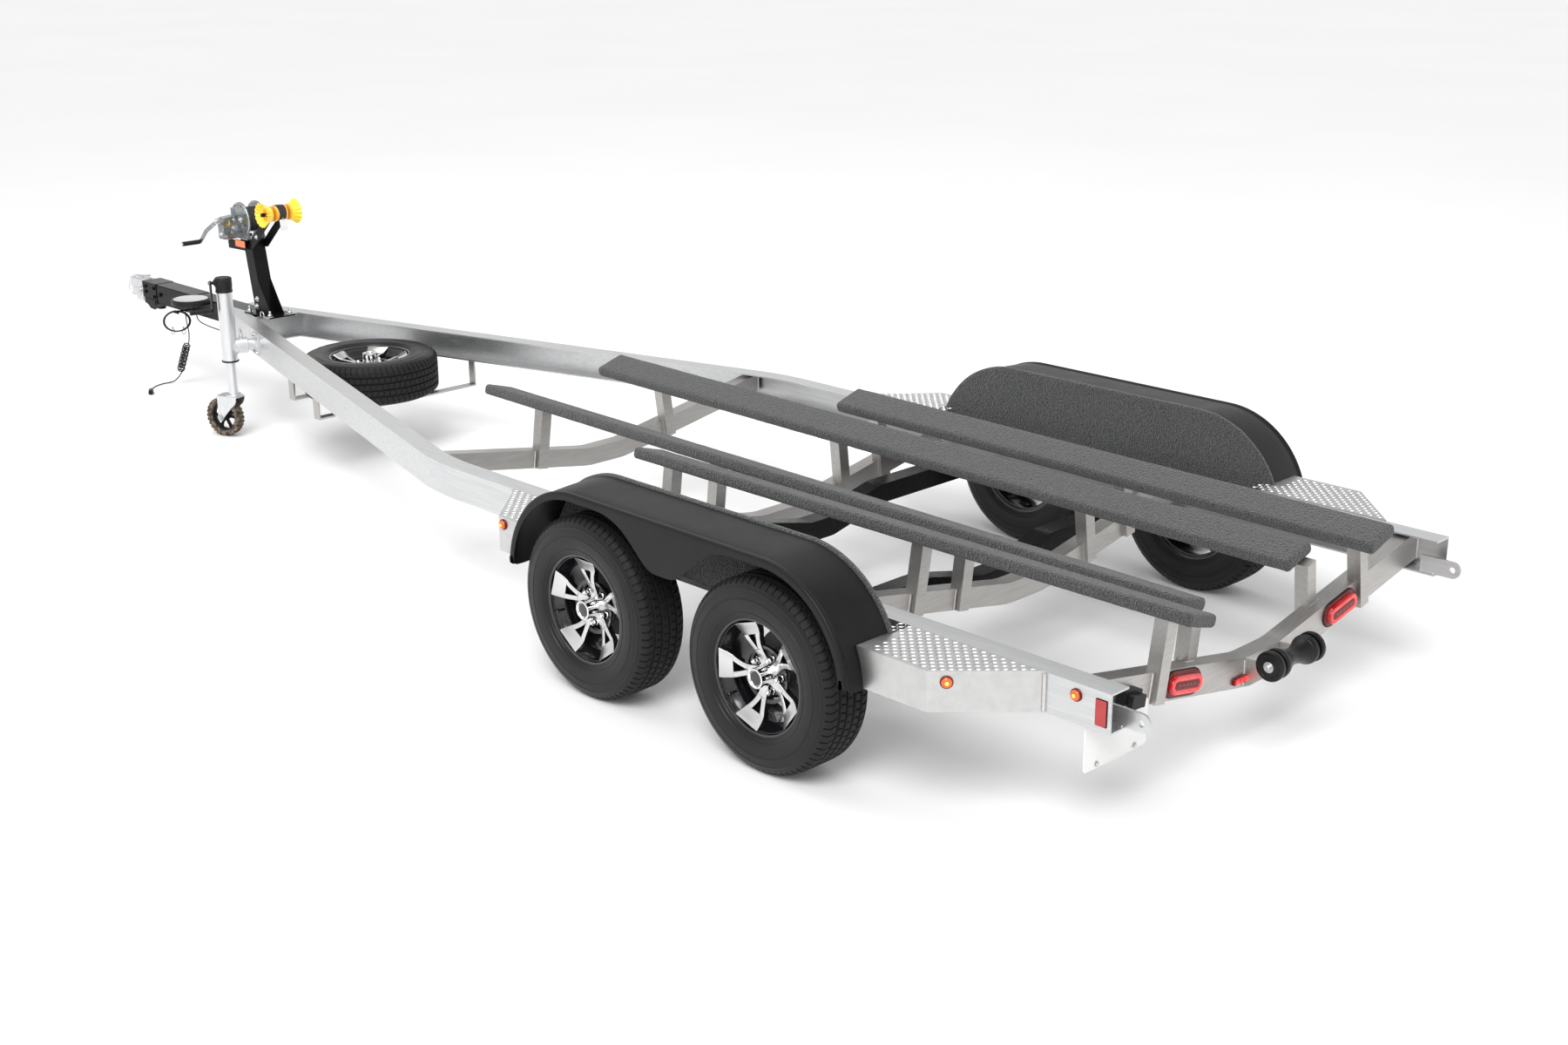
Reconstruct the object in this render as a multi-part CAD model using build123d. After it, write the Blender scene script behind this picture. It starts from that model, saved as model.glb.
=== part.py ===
from build123d import *
import os
from math import atan2, cos, degrees, hypot, radians, sin, tan

os.makedirs("parts", exist_ok=True)

# A tandem-axle aluminium boat trailer. Millimetres. +X runs forward to the coupler, +Y to the left,
# +Z up, with the floor at Z = 0. Places along the trailer are first given as distances ahead of
# the rails' rear ends, and every piece is moved at the end so that the origin is under the middle.

# ---------------------------------------------------------------- driving dimensions
# Rails: two C-channels, open towards the middle, straight at the rear and converging in front.
RAIL_DEPTH = 127.0
RAIL_FLANGE = 82.0
RAIL_WALL = 6.0
RAIL_TOP = 523.0
RAIL_BEND_RADIUS = 1100.0
FRAME_HALF = 965.0
DRAWN_HALF = 965.0
TAPER_START = 3267.0
NOSE_X = 6400.0
NOSE_HALF = 88.0
RAIL_BEND_GAP = 1.0

# Tie-down eyes welded in the rails' rear ends.
EYE_THICK = 10.0
EYE_INSET = 70.0
EYE_REACH = 89.0
EYE_ROOT = 60.0
EYE_HEIGHT = 60.0
EYE_HOLE_RADIUS = 11.0

# Wheels and tyres.
AXLE_HEIGHT = 326.0
REAR_AXLE_X = 1136.0
AXLE_SPREAD = 849.0
RIM_RADIUS = 195.0
RIM_WIDTH = 176.0
RIM_FACE_OUT = 297.0
RIM_WALL = 6.0
WELL_DROP = 22.0
WELL_STATIONS = (34.0, 52.0, 96.0, 122.0)
TYRE_WIDTH = 203.0
TYRE_SIDES = 56
TYRE_BULGE_RADIUS = 246.0
TYRE_FLANK = (302.0, 7.0)
TYRE_SHOULDER = 28.0
BEAD_RADIUS = 182.0
SPOKE_COUNT = 5
SPOKE_EDGE = ((30.0, 17.0), (72.0, 14.0), (84.0, 16.0), (122.0, 29.0), (153.0, 46.0), (180.0, 55.0))
SPOKE_WINDOW = ((88.0, 1.5), (122.0, 16.0), (151.0, 30.0))
PAD_INNER = (153.0, 26.0)
PAD_OUTER = (184.0, 5.0)
SPOKE_THICK = 22.0
HUB_RADIUS = 74.0
HUB_DEPTH = 46.0
HUB_THICK = 20.0
CAP_RADIUS = 34.0
CAP_PROUD = 8.0
STUD_CIRCLE = 114.3
STUD_COUNT = 5
STUD_RADIUS = 7.5
BRAKE_RADIUS = 125.0
BRAKE_WIDTH = 28.0
BRAKE_BARREL_RADIUS = 60.0
BRAKE_BARREL_GAP = 12.0

# Torsion axles: a bent square tube under the rails, with arms that trail back to the spindles.
AXLE_TUBE = 78.0
AXLE_WALL = 6.0
AXLE_DROP = 66.0
AXLE_FLAT_HALF = 60.0
AXLE_RAMP_HALF = 340.0
AXLE_BEND_RADIUS = 110.0
AXLE_LEAD = 135.0
AXLE_INSET = 277.0
ARM_THICK = 34.0
ARM_END_RADIUS = 42.0
SPINDLE_RADIUS = 22.0
SPINDLE_END_GAP = 12.0

# Crossmembers: rectangular tubes bent to a shallow vee.
CROSS_REAR_X = 112.0
CROSS_BEHIND_AXLE = 58.0
CROSS_AHEAD_AXLE = 323.0
CROSS_PAST_BEND = 111.0
CROSS_WIDTH = 64.0
CROSS_WALL = 5.0
CROSS_FLAT_HALF = 95.0
CROSS_BEND_RADIUS = 300.0

# Bunks: carpeted boards that lean in towards the keel.
BUNK_WIDTH = 150.0
BUNK_THICK = 45.0
BUNK_EDGE_RADIUS = 9.0
BUNK_LEAN = 16.5
BUNK_GAP = 0.3

# Posts that carry the bunks.
POST_WIDTH = 50.0
POST_PROUD = 20.0

# Fenders: one long arch over both wheels on each side.
FENDER_TOP = 744.0
FENDER_CROWN_DROP = 11.0
FENDER_FLAT_HALF = 460.0
FENDER_END_RADIUS = 370.0
FENDER_OVERHANG = 0.5
FENDER_TYRE_GAP = 8.5
FENDER_TIP_Z = 388.0
FENDER_WALL = 5.0
FENDER_LIP = 22.0
SKIRT_DROP_Z = 557.0
SKIRT_HALF_FOOT = 48.0
SKIRT_HALF_KNEE = 205.0
SKIRT_KNEE_Z = 696.0
SKIRT_HALF_ROOT = 335.0
SKIRT_ROOT_ARC = 150.0
SKIRT_FOOT_ARC = 62.0
BOARD_THICK = 18.0
BOARD_PROUD = 10.0
BOARD_BOTTOM = 470.0

# Steps ahead of and behind the fenders.
STEP_INSET = 71.0
STEP_WALL = 5.0
TREAD_PLATE = 3.0
STEP_GAP = 0.3

# Nose crossmember, tongue, coupler and foot pad.
NOSE_CROSS_BEHIND = 400.0
NOSE_CROSS_WIDTH = 64.0
TONGUE_HALF = 50.0
TONGUE_DEPTH = 102.0
TONGUE_REACH = 790.0
ACTUATOR_LENGTH = 145.0
ACTUATOR_BOTTOM = 388.0
ACTUATOR_HALF = 56.0
ACTUATOR_TOP = 527.0
ACTUATOR_BELLY = ((0.0, 55.0), (30.0, 15.0), (70.0, 0.0))
ACTUATOR_HEEL = (30.0, 25.0)
COUPLER_LENGTH = 205.0
COUPLER_HALF = 40.0
COUPLER_BOTTOM = 405.0
COUPLER_TOP = 520.0
BALL_RADIUS = 25.6
SOCKET_DEPTH = 40.0
COUPLER_WALL = 10.0
PAD_AHEAD = 213.0
PAD_RADIUS = 102.0
PAD_TOP = 550.0
PAD_THICK = 32.0
PAD_GAP = 4.0
PAD_BRACKET_THICK = 6.0

# Winch post and what it carries.
POST_PLATE_HALF = 75.0
POST_FOOT_BEHIND = 285.0
POST_PLATE_SPAN = (-155.0, 90.0)
POST_PLATE_THICK = 6.0
POST_TUBE = 76.0
POST_TUBE_WALL = 5.0
POST_LEAN = 65.0
POST_HEAD_Z = 898.0
GUSSET_THICK = 6.0
GUSSET_LENGTH = 75.0
GUSSET_HEIGHT = 170.0
HEAD_PLATE_THICK = 8.0
HEAD_PLATE_SPAN = (-60.0, 120.0)
WINCH_AHEAD = 29.0
WINCH_RISE = 104.0
WINCH_DISC_RADIUS = 91.0
WINCH_PLATE_THICK = 4.0
WINCH_HALF = 49.0
WINCH_FOOT_HALF = 72.0
HOUSING_AHEAD = (6.0, 86.0)
HOUSING_RISE = (-98.0, 12.0)
HOUSING_END = 130.0
DRUM_RADIUS = 30.0
STRAP_ROLL_RADIUS = 62.0
DRUM_GAP = 6.0
SHAFT_RADIUS = 8.0
SHAFT_SEAT = 20.0
CRANK_AHEAD = 74.0
CRANK_RISE = -6.0
CRANK_THICK = 8.0
CRANK_WIDTH = 22.0
CRANK_KNEE = (126.0, -70.0)
CRANK_END = (190.0, -128.0)
GRIP_RADIUS = 12.0
GRIP_LENGTH = 100.0
ROLLER_BEHIND = 270.0
ROLLER_RISE = 168.0
ROLLER_END_HALF = 98.0
ROLLER_BELL_HALF = 57.0
ROLLER_NECK_HALF = 49.0
ROLLER_BELL_RADIUS = 64.0
ROLLER_LIP = 8.0
ROLLER_CORE_RADIUS = 22.0
ROLLER_CORE_LENGTH = 14.0
ROLLER_NECK_RADIUS = 40.0
ROLLER_SPOOL_HALF = 33.0
ROLLER_PIN_RADIUS = 10.0
YOKE_THICK = 6.0
YOKE_WIDTH = 44.0
YOKE_KNEE_BEHIND = 108.0
YOKE_KNEE_RISE = 45.0
YOKE_BEND_BEHIND = 56.0
YOKE_AHEAD = 35.0

# Jack: swivels on the left rail, with a lifting inner tube and a caster wheel.
JACK_BEHIND = 594.0
JACK_STANDOFF = 140.0
JACK_PIVOT_Z = 462.0
JACK_PLATE_LENGTH = 78.0
JACK_PLATE_HEIGHT = 109.0
JACK_PLATE_THICK = 10.0
JACK_STUB_RADIUS = 28.0
JACK_COLLAR_RADIUS = 37.0
JACK_COLLAR_START = 52.0
JACK_TUBE_RADIUS = 38.0
JACK_TUBE_WALL = 5.0
JACK_TUBE_Z = (396.0, 738.0)
JACK_CAP_TOP = 812.0
JACK_CAP_RADIUS = 42.0
JACK_RING_RADIUS = 42.0
JACK_RING_HEIGHT = 9.0
JACK_INNER_RADIUS = 24.0
JACK_INNER_TOP = 560.0
JACK_WHEEL_RADIUS = 100.0
JACK_WHEEL_WIDTH = 50.0
JACK_TRAIL = 65.0
JACK_CASTER_TURN = 20.6
JACK_CROWN_SPAN = (-43.0, 83.0)
JACK_CROWN_CORNER = 18.0
JACK_FORK_GAP = 7.0
JACK_FORK_THICK = 5.0
JACK_FORK_RISE = 8.0
JACK_LEG_TOP_RADIUS = 59.0
JACK_LEG_FOOT_RADIUS = 15.0
JACK_AXLE_RADIUS = 8.0
JACK_CRANK_Z = 788.0
JACK_CRANK_DROP = 138.0
JACK_CRANK_GAP = 18.0
JACK_GRIP_LENGTH = 108.0
RUNNING_GAP = 0.3

# Spare wheel, flat between the rails, and its carrier.
SPARE_RAIL_HALF = 431.75
SPARE_FACE_Z = 461.0
CARRIER_SPAN = (-217.0, 178.0)
CARRIER_BAR = 44.0
CARRIER_BAR_DEPTH = 10.0
CARRIER_DROP_HALF = 352.0
CARRIER_WALL = 8.0

# Lamps, number plate and keel roller at the rear.
LAMP_POST_GAP = 15.0
LAMP_LENGTH = 198.0
LAMP_HEIGHT = 90.0
LAMP_THICK = 24.0
LAMP_DROP = 2.0
BAR_CENTRE = (131.0, 286.0)
BAR_SIZE = (76.0, 24.0)
BAR_THICK = 16.0
PLATE_SIZE = (305.0, 152.0)
PLATE_THICK = 3.0
PLATE_CORNER = 14.0
PLATE_DRAWN_Y = 803.0
PLATE_CENTRE_Z = 318.0
PLATE_GAP = 16.0
PLATE_SLOT = (22.0, 8.0)
PLATE_SLOT_INSET = (60.0, 14.0)
KEEL_X = 10.0
KEEL_Z = 356.0
KEEL_HALF = 130.0
KEEL_END_RADIUS = 50.0
KEEL_WAIST_RADIUS = 28.0
KEEL_END_WIDTH = 26.0
KEEL_BARREL_RADIUS = 34.0
KEEL_NECK = 8.0
KEEL_TIP_RADIUS = 15.0
KEEL_TAB_THICK = 8.0
KEEL_TAB_WIDTH = 44.0
KEEL_PIN_RADIUS = 8.0

# Free cords: the curly lead with its plug, the brake line, and the safety cables on their hook.
LEAD_DIAMETER = 6.0
COIL_DIAMETER = 42.0
PLUG_RADIUS = 13.0
PLUG_LENGTH = 46.0
BRAKE_LINE_DIAMETER = 6.0
HOOK_AHEAD = 490.0
HOOK_Z = 427.0
HOOK_RADIUS = 5.0
HOOK_REACH = 68.0
HOOK_ARM = 44.0
HOOK_TIP = 16.0
CABLE_LOOPS = (68.0, 56.0)
CABLE_LOOPS_RADIUS = 12.0
CABLES_BEHIND = 30.0
CABLE_TURN = 25.5

# ---------------------------------------------------------------- worked out from the above
TAPER = (FRAME_HALF - NOSE_HALF) / (NOSE_X - TAPER_START)
TAPER_ANGLE = degrees(atan2(TAPER, 1.0))
ACROSS = FRAME_HALF / DRAWN_HALF
RAIL_BOTTOM = RAIL_TOP - RAIL_DEPTH
WEB_INNER = FRAME_HALF - RAIL_WALL
EYE_HALF = FRAME_HALF - EYE_INSET
RIM_FACE_HALF = FRAME_HALF + RIM_FACE_OUT
TYRE_FACE_HALF = RIM_FACE_HALF + (TYRE_WIDTH - RIM_WIDTH) / 2
FRONT_AXLE_X = REAR_AXLE_X + AXLE_SPREAD
AXLE_HALF = RIM_FACE_HALF - AXLE_INSET
FENDER_X = (REAR_AXLE_X + FRONT_AXLE_X) / 2
FENDER_OUTER_HALF = TYRE_FACE_HALF + FENDER_OVERHANG
FENDER_INNER_HALF = TYRE_FACE_HALF - TYRE_WIDTH - FENDER_TYRE_GAP
BOARD_OUTER_HALF = FENDER_INNER_HALF
BOARD_INNER_HALF = FENDER_INNER_HALF - BOARD_THICK
STEP_OUTER_HALF = FENDER_OUTER_HALF - STEP_INSET
NOSE_CROSS_X = NOSE_X - NOSE_CROSS_BEHIND
ACTUATOR_START_X = NOSE_X + TONGUE_REACH
ACTUATOR_END_X = ACTUATOR_START_X + ACTUATOR_LENGTH
COUPLER_TIP_X = ACTUATOR_END_X + COUPLER_LENGTH
PAD_X = NOSE_X + PAD_AHEAD
HOOK_X = NOSE_X + HOOK_AHEAD
POST_FOOT_X = NOSE_X - POST_FOOT_BEHIND
POST_HEAD_X = POST_FOOT_X + POST_LEAN
WINCH_X = POST_HEAD_X + WINCH_AHEAD
WINCH_Z = POST_HEAD_Z + WINCH_RISE
CRANK_X = WINCH_X + CRANK_AHEAD
CRANK_Z = WINCH_Z + CRANK_RISE
ROLLER_X = POST_HEAD_X - ROLLER_BEHIND
ROLLER_Z = POST_HEAD_Z + ROLLER_RISE
JACK_X = NOSE_X - JACK_BEHIND
SPARE_X = NOSE_X - (SPARE_RAIL_HALF - NOSE_HALF) / TAPER
ORIGIN_X = (COUPLER_TIP_X - EYE_REACH) / 2
TAPER_DIRECTION = Vector(cos(radians(TAPER_ANGLE)), -sin(radians(TAPER_ANGLE)), 0)
TAPER_NORMAL = Vector(sin(radians(TAPER_ANGLE)), cos(radians(TAPER_ANGLE)), 0)


def rail_half(x):
    """Half-width of the frame over the rails' outer faces, at a place along the trailer."""
    return FRAME_HALF - max(0.0, x - TAPER_START) * TAPER


# ---------------------------------------------------------------- small makers
def box(x_span, y_span, z_span):
    """A block between two places on each axis."""
    spans = (x_span, y_span, z_span)
    sizes = [abs(b - a) for a, b in spans]
    centre = [(a + b) / 2 for a, b in spans]
    return Pos(*centre) * Box(*sizes)


def rod(start, direction, radius, length):
    """A round bar from a point, along a direction."""
    return extrude(Plane(origin=start, z_dir=direction) * Circle(radius), amount=length)


def ring(start, direction, outer, inner, length):
    """A round tube from a point, along a direction."""
    face = Circle(outer) - Circle(inner)
    return extrude(Plane(origin=start, z_dir=direction) * face, amount=length)


def side_plate(face, y_span):
    """An outline drawn in (x, z), as a plate between two places on Y."""
    start, end = min(y_span), max(y_span)
    return extrude(Plane.XZ.offset(-start) * face, amount=end - start, dir=(0, 1, 0))


def rear_plate(face, x_span):
    """An outline drawn in (y, z), as a plate between two places on X."""
    start, end = min(x_span), max(x_span)
    return extrude(Plane.YZ.offset(start) * face, amount=end - start)


def flat_plate(face, z_span):
    """An outline drawn in (x, y), as a plate between two places on Z."""
    start, end = min(z_span), max(z_span)
    return extrude(Plane.XY.offset(start) * face, amount=end - start)


def outline(points, radius=0.0):
    """A closed face through points, its corners rounded where a radius is given."""
    if radius:
        return make_face(FilletPolyline(*points, radius=radius, close=True))
    return make_face(Polyline(*points, close=True))


def link(start, end, start_radius, end_radius):
    """The outline of a link: two round ends and what lies between them."""
    a, b = Vector(*start), Vector(*end)
    across = Vector(-(b - a).Y, (b - a).X).normalized()
    sides = [a + across * start_radius, b + across * end_radius,
             b - across * end_radius, a - across * start_radius]
    waist = make_face(Polyline(*[(p.X, p.Y) for p in sides], close=True))
    ends = [Pos(a.X, a.Y) * Circle(start_radius), Pos(b.X, b.Y) * Circle(end_radius)]
    return waist + ends


def mirrored(shape):
    """The same piece on the other side of the trailer."""
    return Compound(children=[solid.mirror(Plane.XZ) for solid in shape.solids()])


def both_sides(shape):
    """A left-hand piece and its mirror image, as one set."""
    return Compound(children=[*shape.solids(), *[solid.mirror(Plane.XZ) for solid in shape.solids()]])


def save(name, shape):
    """Write one piece, moved so that the origin is under the middle of the trailer."""
    export_step(Pos(-ORIGIN_X, 0, 0) * shape, f"parts/{name}.step")


# ---------------------------------------------------------------- rails
def rail():
    """The left rail: a channel in two lengths that meet at its bend, with its tie-down eye."""
    corner = (TAPER_START, FRAME_HALF)
    nose = (NOSE_X, rail_half(NOSE_X))
    past = (NOSE_X + RAIL_FLANGE, rail_half(NOSE_X + RAIL_FLANGE))
    route = FilletPolyline((0, FRAME_HALF), corner, past, radius=RAIL_BEND_RADIUS)
    lower, upper = RAIL_BOTTOM, RAIL_TOP
    inner = -RAIL_FLANGE
    section = [(0, lower), (0, upper), (inner, upper), (inner, upper - RAIL_WALL),
               (-RAIL_WALL, upper - RAIL_WALL), (-RAIL_WALL, lower + RAIL_WALL),
               (inner, lower + RAIL_WALL), (inner, lower)]
    start = Plane(origin=(0, FRAME_HALF, 0), x_dir=(0, 1, 0), z_dir=(1, 0, 0))
    channel = sweep(start * outline(section), path=route)
    reach = RAIL_FLANGE * 2
    channel -= box((NOSE_X, NOSE_X + reach), (-reach, nose[1] + reach), (0, upper + reach))
    channel -= box((0, NOSE_X), (-FRAME_HALF, TONGUE_HALF), (0, upper + reach))
    ahead = box((TAPER_START, past[0] + reach), (-FRAME_HALF, 2 * FRAME_HALF), (0, upper + reach))
    return Compound(children=[(channel - ahead) + tie_down_eye(), channel & ahead])


def tie_down_eye():
    """A pierced lug that stands on the rail's lower flange and reaches back past its end."""
    foot = RAIL_BOTTOM + RAIL_WALL
    nose_radius = EYE_HEIGHT / 2
    centre = (nose_radius - EYE_REACH, foot + nose_radius)
    face = link(centre, (EYE_ROOT, centre[1]), nose_radius, nose_radius)
    face = face & (Pos((EYE_ROOT - EYE_REACH) / 2, centre[1]) * Rectangle(EYE_ROOT + EYE_REACH, EYE_HEIGHT))
    face -= Pos(*centre) * Circle(EYE_HOLE_RADIUS)
    return side_plate(face, (EYE_HALF - EYE_THICK / 2, EYE_HALF + EYE_THICK / 2))


# ---------------------------------------------------------------- crossmembers and bunk posts
# Each row: node name, rear face X, tube depth, top at the middle, top at the rails' webs.
CROSSMEMBERS = [
    ("crossmember_rear", CROSS_REAR_X, 100.0, 350.0, 519.0),
    ("crossmember_axle", REAR_AXLE_X - CROSS_BEHIND_AXLE, 76.0, 350.0, 517.0),
    ("crossmember_mid", FRONT_AXLE_X + CROSS_AHEAD_AXLE, 76.0, 315.0, 476.0),
    ("crossmember_front", TAPER_START + CROSS_PAST_BEND, 76.0, 370.0, 513.0),
]
CROSS_COLUMNS = ("name", "x", "depth", "middle_top", "end_top")
CROSS = {row[0]: dict(zip(CROSS_COLUMNS, row)) for row in CROSSMEMBERS}


def cross_end_half(cross):
    """How far out a crossmember reaches: to the inside of the rails' webs."""
    front = cross["x"] + CROSS_WIDTH
    if front < TAPER_START - RAIL_BEND_RADIUS * tan(radians(TAPER_ANGLE / 2)):
        return WEB_INNER
    return rail_half(front) - RAIL_WALL / cos(radians(TAPER_ANGLE)) - RAIL_BEND_GAP


def cross_slope(cross):
    """Rise of the tube per unit of Y, out from its flat."""
    return (cross["end_top"] - cross["middle_top"]) / (cross_end_half(cross) - CROSS_FLAT_HALF)


def cross_height(cross, y):
    """Height of the tube's centre line at a place across the trailer."""
    middle = cross["middle_top"] - cross["depth"] / 2
    return middle + cross_slope(cross) * max(0.0, abs(y) - CROSS_FLAT_HALF)


def vee_bar(cross, width, depth, x):
    """A bar of the crossmember's route, coped to the rails' webs and flanges."""
    end = cross_end_half(cross)
    past = end + cross["depth"]
    high, low = cross_height(cross, past), cross_height(cross, 0)
    flat = CROSS_FLAT_HALF
    route = FilletPolyline((x, -past, high), (x, -flat, low), (x, flat, low), (x, past, high),
                           radius=CROSS_BEND_RADIUS)
    start = Plane(origin=route @ 0, x_dir=(1, 0, 0), z_dir=route % 0)
    bar = sweep(start * Rectangle(width, depth), path=route)
    flange_edge = end + RAIL_WALL - RAIL_FLANGE
    span = (x - width, x + width)
    inside = box(span, (-end, end), (RAIL_BOTTOM + RAIL_WALL, RAIL_TOP - RAIL_WALL))
    return bar & (inside + box(span, (-flange_edge, flange_edge), (0, RAIL_TOP)))


def crossmember(cross):
    """A hollow tube of the crossmember's route."""
    x = cross["x"] + CROSS_WIDTH / 2
    wall = 2 * CROSS_WALL
    outer = vee_bar(cross, CROSS_WIDTH, cross["depth"], x)
    return outer - vee_bar(cross, CROSS_WIDTH - wall, cross["depth"] - wall, x)


# Places across the trailer in the tables below are drawn for a frame of half-width DRAWN_HALF.
# Each row: node name, rear X, front X, middle of the top face (y, z) at the rear, then at the front.
BUNKS = [
    ("bunks_inner", 183.0, 3712.0, (298.5, 589.0), (304.0, 627.5)),
    ("bunks_outer", 5.0, 2468.0, (510.5, 640.5), (539.5, 653.0)),
]
BUNK_COLUMNS = ("name", "rear_x", "front_x", "rear", "front")
BUNK = {row[0]: dict(zip(BUNK_COLUMNS, row)) for row in BUNKS}
LEAN_ACROSS = Vector(0, cos(radians(BUNK_LEAN)), sin(radians(BUNK_LEAN)))
LEAN_UP = Vector(0, -sin(radians(BUNK_LEAN)), cos(radians(BUNK_LEAN)))


def bunk_top(bunk, x):
    """The middle of the bunk's top face at a place along the trailer."""
    along = (x - bunk["rear_x"]) / (bunk["front_x"] - bunk["rear_x"])
    rear, front = bunk["rear"], bunk["front"]
    across = rear[0] + (front[0] - rear[0]) * along
    return Vector(x, across * ACROSS, rear[1] + (front[1] - rear[1]) * along)


def bunk_board(bunk):
    """The left board of a pair, with rounded edges."""
    rear, front = bunk_top(bunk, bunk["rear_x"]), bunk_top(bunk, bunk["front_x"])
    run = front - rear
    section = Plane(origin=rear - LEAN_UP * (BUNK_THICK / 2), x_dir=LEAN_ACROSS, z_dir=run)
    return extrude(section * RectangleRounded(BUNK_WIDTH, BUNK_THICK, BUNK_EDGE_RADIUS), amount=run.length)


# Each row: bunk, crossmember, post's rear face ahead of the crossmember's, foot |y|, top |y|.
POSTS = [
    ("bunks_outer", "crossmember_rear", -POST_PROUD, 590.0, 545.0),
    ("bunks_outer", "crossmember_axle", -POST_PROUD, 590.0, 550.0),
    ("bunks_outer", "crossmember_mid", -POST_PROUD, 590.0, 555.0),
    ("bunks_inner", "crossmember_rear", 38.0, 358.0, 325.0),
    ("bunks_inner", "crossmember_axle", -POST_PROUD, 358.0, 325.0),
    ("bunks_inner", "crossmember_mid", -POST_PROUD, 358.0, 325.0),
    ("bunks_inner", "crossmember_front", -POST_PROUD, 358.0, 325.0),
]
POST_COLUMNS = ("bunk", "cross", "set_x", "foot", "top")


def bunk_post(post):
    """A left-hand post: it laps the crossmember's face and ends under its bunk."""
    cross, bunk = CROSS[post["cross"]], BUNK[post["bunk"]]
    rear = cross["x"] + post["set_x"]
    middle_x = rear + POST_WIDTH / 2
    under = bunk_top(bunk, middle_x) - LEAN_UP * (BUNK_THICK + BUNK_GAP)
    half_depth = cross["depth"] / 2
    foot, top = post["foot"] * ACROSS, post["top"] * ACROSS
    foot_z = cross_height(cross, foot) - half_depth
    top_z = under.Z
    lean = (top - foot) / (top_z - foot_z)
    reach = POST_WIDTH
    half = POST_WIDTH / 2
    low, high = foot_z - reach, top_z + reach
    corners = [(foot + lean * (low - foot_z) + side, low) for side in (-half, half)]
    corners += [(foot + lean * (high - foot_z) + side, high) for side in (half, -half)]
    body = rear_plate(outline(corners), (rear, rear + POST_WIDTH))
    slope = cross_slope(cross)
    floor_cut = [(0, -RAIL_TOP), (0, foot_z - slope * foot),
                 (FRAME_HALF, foot_z + slope * (FRAME_HALF - foot)), (FRAME_HALF, -RAIL_TOP)]
    body -= rear_plate(outline(floor_cut), (rear - reach, rear + 2 * reach))
    run = bunk_top(bunk, bunk["front_x"]) - bunk_top(bunk, bunk["rear_x"])
    above = Plane(origin=under, x_dir=LEAN_ACROSS, z_dir=run)
    lid = above * (Pos(0, RAIL_TOP / 2) * Rectangle(RAIL_TOP, RAIL_TOP))
    body -= extrude(lid, amount=2 * reach, both=True)
    x = cross["x"] + CROSS_WIDTH / 2
    return body - vee_bar(cross, CROSS_WIDTH, cross["depth"], x)


# ---------------------------------------------------------------- fenders and steps
def arch(grow, bottom):
    """The fender's side outline, grown all round, down to a level."""
    half, radius = FENDER_FLAT_HALF, FENDER_END_RADIUS + grow
    centre_z, top = FENDER_TOP - FENDER_END_RADIUS, FENDER_TOP + grow
    past = half + radius
    corners = [(-past, 0), (-past, centre_z), (-half, top), (half, top), (past, centre_z), (past, 0)]
    face = outline(corners)
    face += [Pos(side * half, centre_z) * Circle(radius) for side in (-1, 1)]
    kept = Pos(0, (bottom + top) / 2) * Rectangle(3 * past, top - bottom)
    return Pos(FENDER_X, 0) * (face & kept)


def skirt_cut():
    """What is cut out of the fender's outer side, round both wheels."""
    inner = arch(-FENDER_CROWN_DROP - FENDER_LIP, 0.0)
    foot, knee, root = SKIRT_HALF_FOOT, SKIRT_HALF_KNEE, SKIRT_HALF_ROOT
    top = FENDER_TOP - FENDER_CROWN_DROP - FENDER_LIP
    drop = [(root, top), (knee, SKIRT_KNEE_Z), (foot, SKIRT_DROP_Z),
            (-foot, SKIRT_DROP_Z), (-knee, SKIRT_KNEE_Z), (-root, top)]
    line = FilletPolyline(*drop, radius=(SKIRT_ROOT_ARC, SKIRT_FOOT_ARC, SKIRT_FOOT_ARC, SKIRT_ROOT_ARC))
    lid = Polyline((-root, top), (-root, top + FENDER_LIP), (root, top + FENDER_LIP), (root, top))
    return inner - Pos(FENDER_X, 0) * make_face(line.edges() + lid.edges())


def fender():
    """The left fender: an arched shell, narrower outwards, with a lip and a skirt between the wheels."""
    width = FENDER_OUTER_HALF - FENDER_INNER_HALF
    narrowing = degrees(atan2(FENDER_CROWN_DROP, width))
    past = FENDER_TIP_Z - RAIL_DEPTH
    inner_face = Plane.XZ.offset(-FENDER_INNER_HALF)
    hull = extrude(inner_face * arch(0.0, past), amount=-width, taper=narrowing)
    hollow = extrude(inner_face * arch(-FENDER_WALL, past), amount=FENDER_WALL - width, taper=narrowing)
    shell = hull - hollow
    span = FENDER_FLAT_HALF + FENDER_END_RADIUS + RAIL_DEPTH
    shell -= box((FENDER_X - span, FENDER_X + span), (0, FENDER_OUTER_HALF + span), (0, FENDER_TIP_Z))
    return shell - side_plate(skirt_cut(), (FENDER_OUTER_HALF - 3 * FENDER_WALL, FENDER_OUTER_HALF + span))


def fender_board():
    """The carpeted board along the fender's inner edge."""
    return side_plate(arch(BOARD_PROUD, BOARD_BOTTOM), (BOARD_INNER_HALF, BOARD_OUTER_HALF))


def fender_clearance():
    """The space that the left fender and its board take, where the steps are cut back."""
    board = side_plate(arch(BOARD_PROUD + STEP_GAP, 0.0), (FRAME_HALF, BOARD_OUTER_HALF + STEP_GAP))
    return board + side_plate(arch(STEP_GAP, 0.0), (BOARD_OUTER_HALF, FENDER_OUTER_HALF))


# Each row: name, then places ahead of the fender's middle: end that meets the frame, outer corner,
# end under the fender.
STEPS = [
    ("rear", -1320.5, -1080.5, -760.5),
    ("front", 1184.5, 963.5, 759.5),
]


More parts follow.
